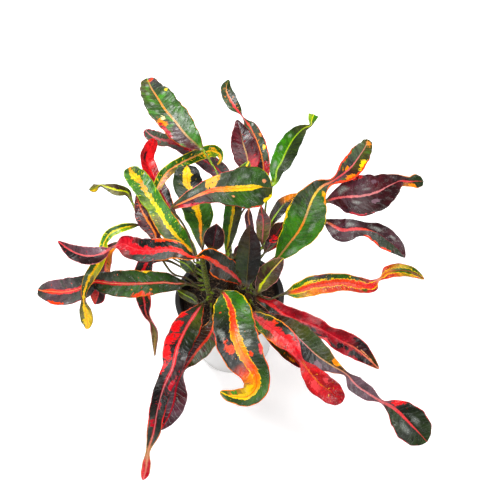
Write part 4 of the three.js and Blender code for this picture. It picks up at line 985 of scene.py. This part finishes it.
def leaf_measures(look, s, share, y, w, lamina):
    """Per point: its place along the veins, its distances, the reach of each band."""
    off = np.abs(y)
    stalk = 0 * s
    if lamina > 0:
        stalk = 1 - smooth(s, lamina - FADE_BEFORE, lamina + FADE_AFTER)
    triples = {
        "grain": (s - VEIN_LEAN * off, off, 0 * s),
        "across": (y, off, w - off),
        "reach": (between(look["rib_width"], share), between(look["edge_width"], share), stalk),
    }
    measures = {}
    for key, parts in triples.items():
        measures[key] = np.tile(np.stack(parts, -1).reshape(-1, 3), (2, 1))
    measures["share"] = np.tile(share.ravel(), 2)
    measures["upper"] = np.repeat([1.0, 0.0], s.size)
    return measures


# Leaf material

LEAF_SPECULAR = 0.32
HALVES_APART = 37.0
SEED_SHIFT = (31.0, 17.0, 13.0)
VEIN_WANDER = 2.0
# Strengths of the painted sheen: its pale wash and its pale specks
SHEEN_FILM, SHEEN_SPECKS = 0.035, 0.4
MARGIN_RAGGED = 0.8
SWING, NIBBLE, LEAST_NIBBLE = 4.0, 1.2, 0.3
FOOT_LIME, FOOT_NEAR, FOOT_FAR, FOOT_WANDER = 0.6, 9.0, 17.0, 16.0
UNDERSIDE = 0.6

# The noise value that flecks and clouds start at: with none of them, and how much lower with all

RAREST, RAREST_FALL = 0.7, 0.55

# Noises: scale along the leaf, along its veins and in depth, detail and roughness

NOISES = {
    "barbs": ((0.15, 0.1, 1), 4.0, 0.6),
    "teeth": ((0.7, 0.3, 1), 2.0, 0.5),
    "patches": ((0.075, 0.07, 1), 5.0, 0.6),
    "cells": ((0.16, 0.13, 1), 4.0, 0.6),
    "streaks": ((0.45, 0.2, 1), 3.0, 0.6),
    "grit": ((1.1, 1.0, 1), 3.0, 0.7),
    "swell": ((0.15, 0.1, 1), 3.0, 0.5),
}

# What darkens or lightens a blade: a noise, the values it works between, a strength, a factor

BLADE_SHADES = (
    ("patches", 0.4, 0.62, 0.75, 0.3),
    ("cells", 0.5, 0.64, 0.5, 1.6),
    ("grit", 0.4, 0.62, 0.55, 0.35),
)


class LeafMarks:
    """The measures that a leaf's colours are laid out by, and noises, other ones for each half."""

    def __init__(self, p, seed):
        self.y, self.off_rib, self.off_edge = p.split(p.attribute("across", "Vector"))
        self.rib_reach, self.edge_reach, self.stalk = p.split(p.attribute("reach", "Vector"))
        self.share = p.attribute("share")
        self.upper = p.attribute("upper")
        self.w = self.off_rib + self.off_edge
        right_half = p.calc("GREATER_THAN", self.y) * HALVES_APART
        apart = p.node("ShaderNodeCombineXYZ", {2: right_half})
        both = {0: p.attribute("grain", "Vector"), 1: apart}
        grain = p.node("ShaderNodeVectorMath", both, operation="ADD")
        shift = tuple(seed * part for part in SEED_SHIFT)
        for key, noise in NOISES.items():
            setattr(self, key, p.noise(grain, *noise, shift))
        self.on_veins = p.split(grain)[0]
        turn = self.on_veins * (1 / VEIN_SPACING) + self.swell * VEIN_WANDER
        self.to_vein = p.calc("PINGPONG", turn, 0.5)


def drawn_in_and_out(p, reach, barbs, teeth, ragged):
    """A band's reach, made longer and shorter along the veins."""
    swing = (barbs - 0.5) * (SWING * ragged)
    nibble = (teeth - 0.5) * (NIBBLE * ragged + LEAST_NIBBLE)
    return reach * p.calc("MAXIMUM", swing + nibble + 1.0)


def blade_colour(p, m, look):
    """Two halves that meet at the midrib, shaded, clouded and flecked."""
    left = p.ramp(m.share, look.get("left") or look["blade"])
    right = p.ramp(m.share, look.get("right") or look["blade"])
    colour = p.mix((m.y + (m.teeth - 0.5)).step(-0.3, 0.3), left, right)
    for key, low, high, strength, factor in BLADE_SHADES:
        colour = p.shade(getattr(m, key).step(low, high) * strength, colour, factor)
    for key, noise, soft in (("clouds", m.patches, 0.14), ("flecks", m.streaks, 0.03)):
        amount, tint = look[key].split()
        if float(amount):
            low = RAREST - RAREST_FALL * float(amount)
            colour = p.mix((1.0 - noise).step(low, low + soft), colour, tint)
    return colour


def painted_sheen(p, m, look, colour):
    """Painted sheen: a faint pale wash and pale specks away from the rib, which also read as a waxy bloom.
    """
    sheen_film = m.cells.step(0.48, 0.36) * m.off_rib.step(0.8, 2.5)
    colour = p.mix(sheen_film * (SHEEN_FILM * look["sheen"]), colour, "pale")
    highlight_specks = m.grit.step(0.58, 0.66) * m.cells.step(0.53, 0.42)
    return p.mix(highlight_specks * (SHEEN_SPECKS * look["sheen"]), colour, "pale")


def patched(p, m, look, length, colour):
    """Patches with a torn border, or soft and speckled ones where they have a strength, used as painted
    highlights.
    """
    border = (m.cells - 0.5) * 4.0 + (m.streaks - 0.5) * 2.5 + (m.grit - 0.5) * 1.5
    for patch in filter(None, look["patches"].split(",")):
        words = patch.split()
        along, across, half_length, half_width = [float(word) for word in words[:4]]
        steps = (m.share - along / 100) * (length / half_length)
        aside = (m.y - m.w * across) / half_width
        far = p.calc("SQRT", steps * steps + aside * aside)
        # A patch with a strength is a painted highlight: soft, speckled and faint.
        if len(words) > 5:
            highlight_specks = m.grit.step(0.46, 0.62) * 0.75 + 0.25
            mask = (far + border * 0.4).step(1.4, 0.3) * highlight_specks * float(words[5])
        else:
            mask = (far + border).step(1.12, 0.95)
        colour = p.mix(mask, colour, p.shade(m.grit.step(0.5, 0.65) * 0.25, words[4], 0.4))
    return colour


def edged(p, m, look, colour):
    """The band at the margin."""
    reach = drawn_in_and_out(p, m.edge_reach, m.cells, m.teeth, MARGIN_RAGGED)
    return p.mix((m.off_edge - reach).step(0.15, -0.25), colour, p.ramp(m.share, look["edge"]))


def ribbed(p, m, look, colour):
    """The veins, and the band along the midrib with its halo and its middle line."""
    rib = p.ramp(m.share, look["rib"])
    rib = p.shade(m.streaks.step(0.47, 0.6) * 0.5, rib, 0.55)
    amount, *tint = look["vein"].split()
    vein = m.to_vein.step(0.08, 0.01) * m.off_edge.step(0.3, 2.5)
    colour = p.mix(vein * float(amount), colour, tint[0] if tint else rib)
    beyond = m.off_rib - drawn_in_and_out(p, m.rib_reach, m.barbs, m.teeth, look["ragged"])
    if look["halo"]:
        colour = p.mix((beyond - (m.streaks - 0.5) * 3.0).step(0.7, 0.3), colour, look["halo"])
    if look["line"]:
        rib = p.mix(m.off_rib.step(0.45, 0.2) * 0.8, rib, look["line"])
    return p.mix(beyond.step(0.25, -0.25), colour, rib)


def stalked(p, m, look, colour):
    """The stalk, yellow-green at its foot."""
    stalk = p.mix(m.cells.step(0.42, 0.58), "brown", look["stalk"])
    foot = (m.on_veins + m.patches * FOOT_WANDER).step(FOOT_FAR, FOOT_NEAR)
    return p.mix(m.stalk, colour, p.mix(foot * FOOT_LIME, stalk, "lime"))


def leaf_material(name, look, length, seed):
    """A leaf's coloured layers, a duller underside, uneven gloss and slight relief."""
    p = Pattern(name, specular=LEAF_SPECULAR)
    m = LeafMarks(p, seed)
    colour = painted_sheen(p, m, look, blade_colour(p, m, look))
    colour = edged(p, m, look, patched(p, m, look, length, colour))
    colour = stalked(p, m, look, ribbed(p, m, look, colour))
    colour = p.mix(m.upper, p.mix(UNDERSIDE, colour, look["under"]), colour)
    roughness = m.cells.step(0.35, 0.65) * 0.16 + 0.16 + m.grit * 0.12
    relief = p.bump(m.to_vein.step(0.0, 0.4), VEIN_RELIEF)
    relief = p.bump(m.swell, SWELL_RELIEF, relief)
    relief = p.bump(m.grit, GRIT_RELIEF, relief)
    return p.finish(colour, roughness, relief)


def make_leaf(name, leaf, number):
    """One leaf, whose number seeds its waves and noises."""
    look = {**LEAF_LOOK, **leaf}
    curve = leaf_curve(leaf)
    made = new_object("fine_" + name, *leaf_mesh(look, curve, number * SEED_STEP))
    stand_for(made, name, leaf_material("croton_" + name, look, curve.total, number))


for number, (name, leaf) in enumerate(LEAVES.items()):
    make_leaf("leaf_" + name, leaf, number)


# Stems

def node_heights(name):
    """Heights of a stem's nodes: one where each leaf leaves it, and scars of older leaves."""
    held = [leaf["height"] for leaf in LEAVES.values() if leaf["stem"] == name]
    return np.concatenate([held, np.arange(SCARS_FROM, min(held) - SCARS_CLEAR, SCAR_SPACING)])


def make_stem(name, seed):
    """A slightly ridged stem with a swelling at each node and a bud at its tip."""
    rows = np.array(STEMS[name], float)
    heights = np.arange(rows[0, 2], rows[-1, 2] + 0.01, STEM_STEP)
    close = np.abs(heights[:, None] - node_heights(name)).min(1)
    radius = stem_radius(heights) * STEM_SLIMMER + NODE_SWELL * bell(close, NODE_REACH)
    radius[heights < TAPER_FROM] = STEM_FOOT * STEM_FOOT_SLIMMER
    turn = np.linspace(0, np.pi / 2, BUD_RINGS)[1:]
    radius = np.concatenate([radius, radius[-1] * np.maximum(np.cos(turn), BUD_TIP_SHARE)])
    centres = np.array([stem_centre(name, height) for height in heights])
    bud = centres[-1] + np.array([0, 0, BUD_HEIGHT]) * np.sin(turn)[:, None] ** BUD_POINT
    centres = np.concatenate([centres, bud])
    angle = np.linspace(0, 2 * np.pi, STEM_SIDES, endpoint=False)
    ridges = SMALL_RIDGE_DEPTH * np.sin(SMALL_RIDGES * angle + seed)
    ridges = ridges + BROAD_RIDGE_DEPTH * np.sin(BROAD_RIDGES * angle)
    wide = radius[:, None] * (1 + ridges * np.minimum(1, radius / FULL_RIDGE_RADIUS)[:, None])
    points = centres[:, None, :] + ring(STEM_SIDES, 1, 0) * wide[..., None]
    near = np.concatenate([bell(close, KNOT_REACH), np.ones(len(turn))])
    measures = {"knot": np.repeat(near, STEM_SIDES), "height": np.repeat(centres[:, 2], STEM_SIDES)}
    faces = tube_faces(len(centres), STEM_SIDES)
    return new_object("fine_stem_" + name, points.reshape(-1, 3), faces, measures)


def stem_material():
    """Green skin near the tips, tan and brown bark below, yellow-green round each node."""
    p = Pattern("croton_stem")
    place = p.place()
    streaks = p.noise(place, (900, 900, 60), 4.0, 0.65)
    flecks = p.noise(place, (1100, 1100, 700))
    age = p.attribute("height").step(85, 175) + streaks * 0.3
    skin = p.ramp(age, "0 brown, 50 brown, 85 olive, 100 olive")
    skin = p.shade(streaks.step(0.42, 0.6), skin, 0.3)
    skin = p.mix(flecks.step(0.6, 0.68) * 0.6, skin, "tan")
    knot = p.attribute("knot") * age.step(0.1, 0.6) * flecks.step(0.36, 0.56)
    skin = p.mix(knot * 0.5, skin, "lime")
    return p.finish(skin, streaks.step(-0.9, 1.6), p.bump(streaks, BARK_RELIEF))


stem_skin = stem_material()
for seed, stem in enumerate(STEMS):
    stand_for(make_stem(stem, seed), "stem_" + stem, stem_skin)


# Pots

def turned(name, profile):
    """A solid of revolution from a profile that starts and ends on the axis."""
    inner = profile[1:-1]
    rings = [ring(POT_SIDES, radius, z) for radius, z in inner]
    first = len(inner) * POT_SIDES
    top = first - POT_SIDES
    faces = ring_faces(len(inner), POT_SIDES)
    for k in range(POT_SIDES):
        after = (k + 1) % POT_SIDES
        faces += [[first, after, k], [first + 1, top + k, top + after]]
    points = np.concatenate([*rings, [[0, 0, profile[0][1]], [0, 0, profile[-1][1]]]])
    return new_object(name, points, faces, crease=CREASE)


def rounded(corners, steps=4):
    """A profile with its corners rounded: each corner is radius, height and rounding."""
    out = []
    for i, (radius, z, soft) in enumerate(corners):
        if soft == 0:
            out.append((radius, z))
            continue
        here = np.array([radius, z])
        a, b = [here + unit(np.array(corners[k][:2]) - here) * soft for k in (i - 1, i + 1)]
        for t in np.linspace(0, 1, steps + 1):
            out.append(tuple((1 - t) ** 2 * a + 2 * t * (1 - t) * here + t * t * b))
    return out


def make_cover_pot():
    rim = LIP_RADIUS - COVER_RIM_INSET
    band = FOOT_RADIUS - FOOT_BAND
    profile = rounded([
        (0, FOOT_RECESS, 0), (band - FOOT_SLOPE, FOOT_RECESS, 0.6), (band, 0, 0.4),
        (FOOT_RADIUS, 0, 0.6), (BASE_RADIUS, FOOT_STEP, 0.8),
        (rim - RIM_BEVEL_FOOT, COVER_RIM - RIM_BEVEL_DROP, 0.6), (rim - RIM_BEVEL_TOP, COVER_RIM, 0.5),
        (rim - COVER_WALL, COVER_RIM, 0.5), (BASE_RADIUS - COVER_WALL, COVER_FLOOR, 2),
        (0, COVER_FLOOR, 0),
    ])
    stand_for(turned("fine_cover_pot", profile), "cover_pot", cover_material())


def nursery_radius(z):
    """The nursery pot's outer radius at a height."""
    low, high = NURSERY_BASE, LIP_RADIUS - NURSERY_LIP + NURSERY_WALL
    return low + (high - low) * (z - NURSERY_FLOOR) / (LIP_BOTTOM - NURSERY_FLOOR)


def make_nursery_pot():
    inner = nursery_radius(NURSERY_FLOOR_TOP) - NURSERY_WALL
    profile = rounded([
        (0, NURSERY_FLOOR, 0), (NURSERY_BASE, NURSERY_FLOOR, 1),
        (nursery_radius(LIP_BOTTOM), LIP_BOTTOM, 0.4), (LIP_RADIUS - LIP_UNDERCUT, LIP_BOTTOM, 0.6),
        (LIP_RADIUS, POT_HEIGHT, 1), (LIP_RADIUS - NURSERY_LIP, POT_HEIGHT, 1),
        (LIP_RADIUS - NURSERY_LIP - THROAT_INSET, POT_HEIGHT - THROAT_DROP, 0.5),
        (inner, NURSERY_FLOOR_TOP, 1), (0, NURSERY_FLOOR_TOP, 0),
    ])
    made = turned("fine_nursery_pot", profile)
    cut_drain_holes(made)
    stand_for(made, "nursery_pot", nursery_material())


def cut_drain_holes(made):
    """Cuts the ring of drain holes through the pot's floor."""
    points, faces = [], []
    for k in range(DRAIN_HOLES):
        turn = 2 * np.pi * k / DRAIN_HOLES
        centre = np.array([math.cos(turn), math.sin(turn), 0]) * DRAIN_RING
        faces += tube_faces(2, DRAIN_SIDES, k * 2 * DRAIN_SIDES)
        for z in (NURSERY_FLOOR - CUT_PAST, NURSERY_FLOOR_TOP + CUT_PAST):
            points.append(centre + ring(DRAIN_SIDES, DRAIN_RADIUS, z))
    cutter = new_object("drain_cutter", np.concatenate(points), faces)
    cut = made.modifiers.new("drains", "BOOLEAN")
    cut.object = cutter
    cut.operation = "DIFFERENCE"
    cut.solver = "EXACT"
    graph = bpy.context.evaluated_depsgraph_get()
    mesh = bpy.data.meshes.new_from_object(made.evaluated_get(graph))
    made.modifiers.clear()
    made.data = mesh
    bpy.data.objects.remove(cutter)


def cover_material():
    """Light satin plastic with faint moulding streaks, greyer towards the foot, and fine scuffs."""
    p = Pattern("croton_cover_pot")
    place = p.place()
    cloud = p.noise(place, 38.0, 3.0)
    streaks = p.noise(place, (6, 6, 500), 3.0)
    scuffs = p.noise(place, (90, 90, 900), 4.0, 0.7)
    colour = p.mix(cloud, "pot_shade", "pot_light")
    # Greyer towards the foot.
    colour = p.mix(p.split(place)[2].step(0.02, 0.0) * 0.35, colour, "foot_grey")
    colour = p.mix(scuffs.step(0.62, 0.78) * 0.35, colour, "scuff")
    return p.finish(colour, cloud.step(-0.6, 1.7), p.bump(streaks, COVER_RELIEF))


def nursery_material():
    """Black blown plastic, soiled low on the inside, with a painted highlight on the lip's top."""
    p = Pattern("croton_nursery_pot", specular=0.2)
    place = p.place()
    z = p.split(place)[2]
    cloud = p.noise(place, 60.0, 4.0, 0.6)
    streaks = p.noise(place, (8, 8, 900), 3.0)
    dirt = p.noise(place, 700.0, 3.0, 0.7)
    colour = p.mix(cloud, "plastic", "worn_plastic")
    colour = p.mix(z.step(0.088, 0.079) * dirt.step(0.45, 0.62) * 0.6, colour, "brown")
    # Painted highlight: the top of the lip is painted paler.
    colour = p.mix(z.step(0.0925, 0.094) * 0.3, colour, "lip_highlight")
    return p.finish(colour, cloud.step(-0.6, 1.4), p.bump(streaks, NURSERY_RELIEF))


make_cover_pot()
make_nursery_pot()


# Soil

def soil_height(x, y):
    """The solid's low dome and clods, with finer lumps on them."""
    clods = np.sin(x * 0.31 + 1.3) * np.cos(y * 0.27) + np.sin((x - y) * 0.19 + 0.6)
    lumps = np.sin(x * 0.83 + 2 * np.sin(y * 0.41)) * np.cos(y * 0.77 + np.sin(x * 0.6))
    small = np.sin(x * 2.1 + y * 1.3) * np.cos(y * 2.4 - x * 0.7)
    dome = SOIL_DOME * (1 - (np.hypot(x, y) / LIP_RADIUS) ** 2)
    return SOIL_LEVEL + dome + SOIL_BUMP * clods / 2 + SOIL_LUMPS * lumps + SOIL_GRIT * small


def soil_bed():
    """The body of the soil: sides that follow the pot, and a lumpy top."""
    outer = nursery_radius(SOIL_LEVEL) - SOIL_CLEAR
    rings = [ring(SOIL_SIDES, nursery_radius(SOIL_FLOOR) - SOIL_CLEAR, SOIL_FLOOR)]
    for i in range(SOIL_RINGS):
        rings.append(ring(SOIL_SIDES, outer * (1 - i / SOIL_RINGS), soil_height))
    return np.concatenate(rings), tube_faces(len(rings), SOIL_SIDES)


def soil_spot(random, clear):
    """A place on the soil, even over its area and clear of the wall."""
    outer = nursery_radius(SOIL_LEVEL) - SOIL_CLEAR - clear
    radius = outer * math.sqrt(random.uniform(0, 1))
    angle = random.uniform(0, FULL_TURN)
    return radius * math.cos(angle), radius * math.sin(angle)


def lump(random, kind, x, y, size):
    """A small rough lump: a stretched, shaken eight-cornered block."""
    square = ((-1, -1), (1, -1), (1, 1), (-1, 1))
    corners = np.array([[x, y, z] for z in (-1, 1) for x, y in square], float)
    corners *= random.uniform(LUMP_FLATTEST, 1, 3) * size
    corners += random.normal(0, LUMP_SHAKE * size, corners.shape)
    spin = Matrix.Rotation(random.uniform(0, FULL_TURN), 3, "Z")
    turn = spin @ Matrix.Rotation(random.uniform(-LUMP_TILT, LUMP_TILT), 3, "X")
    return corners @ np.array(turn).T + (x, y, soil_height(x, y) + kind["lift"]), LUMP_SIDES


def fibre(random, kind, x, y, length):
    """A thin bent sliver of bark or root lying on the soil."""
    width = random.uniform(*kind["width"])
    heading = random.uniform(0, FULL_TURN)
    bend = random.uniform(-FIBRE_BEND, FIBRE_BEND)
    points = []
    for t in np.linspace(-0.5, 0.5, FIBRE_RINGS):
        a = heading + bend * t * 2
        here = np.array([x + math.cos(a) * length * t, y + math.sin(a) * length * t, 0])
        lift = width * FIBRE_LIFT + FIBRE_ARCH * math.cos(t * 4) * width
        here[2] = soil_height(here[0], here[1]) + lift
        thin = width * (1 - FIBRE_TAPER * t * t)
        aside, above = (-math.sin(a) * thin, math.cos(a) * thin, 0), (0, 0, thin)
        points += [here + aside, here + above, here - aside, here - above]
    return np.array(points), tube_faces(FIBRE_RINGS, 4)


def make_soil():
    """The soil bed with crumbs, pale fibres and white grains on it, as one piece."""
    random = np.random.default_rng(SOIL_SEED)
    points, faces = soil_bed()
    total = len(points)
    points, shades = [points], [np.zeros(total)]
    for shape, kind in ((lump, CRUMBS), (fibre, FIBRES), (lump, GRAINS)):
        for _ in range(kind["count"]):
            x, y = soil_spot(random, kind["clear"])
            corners, sides = shape(random, kind, x, y, random.uniform(*kind["size"]))
            faces += [[corner + total for corner in side] for side in sides]
            points.append(corners)
            shades.append(np.full(len(corners), random.uniform(*kind["shade"])))
            total += len(corners)
    measures = {"tone": np.concatenate(shades)}
    made = new_object("fine_soil", np.concatenate(points), faces, measures, crease=CREASE)
    stand_for(made, "soil", soil_material())


def soil_material():
    """Dark moist mix, browner and paler crumbs, tan fibres and white grains."""
    p = Pattern("croton_soil", roughness=0.9)
    place = p.place()
    tone = p.attribute("tone")
    lumps = p.noise(place, 420.0, 4.0, 0.7)
    fine = p.noise(place, 1600.0, 3.0, 0.7)
    earth = p.mix(lumps.step(0.35, 0.7), "wet_earth", "dry_earth")
    colour = p.mix(tone.step(0.01, 0.05), earth, p.mix(tone, "dark_crumb", "light_crumb"))
    colour = p.mix(tone.step(0.55, 0.6), colour, p.mix(lumps, "old_straw", "straw"))
    colour = p.mix(tone.step(1.1, 1.5), colour, "grain")
    colour = p.mix(fine.step(0.5, 0.75) * 0.4, colour, "pores")
    return p.finish(colour, None, p.bump(fine, CRUMB_RELIEF, p.bump(lumps, CLOD_RELIEF)))


make_soil()


# Floor, light and camera

def make_floor():
    """A wide pale floor that glows a little more towards its far parts."""
    corners = [(x * FLOOR_SIZE, y * FLOOR_SIZE, 0) for x, y in ((-1, -1), (1, -1), (1, 1), (-1, 1))]
    floor = new_object("floor", corners, [(0, 1, 2, 3)])
    p = Pattern("pale_floor", roughness=0.9, specular=0.1)
    place = p.place()
    far = p.node("ShaderNodeVectorMath", {0: place}, "Value", operation="LENGTH")
    glow = far.step(GLOW_FROM, GLOW_TO) * (FAR_GLOW - FLOOR_GLOW) + FLOOR_GLOW
    p.plug(p.shader["Emission Color"], (1, 1, 1, 1))
    p.plug(p.shader["Emission Strength"], glow)
    floor.data.materials.append(p.finish(p.mix(p.noise(place, 3.0), "floor_low", "floor_high")))


def make_light(name, place, size, power):
    data = bpy.data.lights.new(name, "AREA")
    data.shape = "DISK"
    data.size = size
    data.energy = power
    lamp = bpy.data.objects.new(name, data)
    lamp.location = place
    lamp.rotation_mode = "QUATERNION"
    lamp.rotation_quaternion = (Vector(LIGHTS_AIM) - Vector(place)).to_track_quat("-Z", "Y")
    bpy.context.scene.collection.objects.link(lamp)


def make_sky():
    """A white world that is brightest at the horizon."""
    world = bpy.data.worlds.new("studio")
    bpy.context.scene.world = world
    world.use_nodes = True
    sky = Nodes(world.node_tree)
    height = sky.split(sky.place("Generated"))[2]
    glow = sky.node("ShaderNodeMapRange", {0: height, 1: 0.0, 2: SKY_TOP, 3: SKY_LOW, 4: SKY_HIGH})
    background = world.node_tree.nodes["Background"].inputs
    sky.plug(background["Strength"], glow)
    sky.plug(background["Color"], (1, 1, 1, 1))


def make_camera():
    data = bpy.data.cameras.new("camera")
    data.lens = CAMERA_LENS
    data.sensor_width = CAMERA_SENSOR
    camera = bpy.data.objects.new("camera", data)
    pitch, roll = math.radians(CAMERA_PITCH), math.radians(CAMERA_ROLL)
    turn = Matrix.Rotation(math.pi / 2 - pitch, 4, "X") @ Matrix.Rotation(roll, 4, "Z")
    camera.matrix_world = Matrix.Translation(Vector(CAMERA_PLACE) * MM) @ turn
    bpy.context.scene.collection.objects.link(camera)
    bpy.context.scene.camera = camera


make_floor()
make_sky()
for name, light in LIGHTS.items():
    make_light(name, **light)
make_camera()
bpy.context.scene.view_settings.view_transform = "Standard"
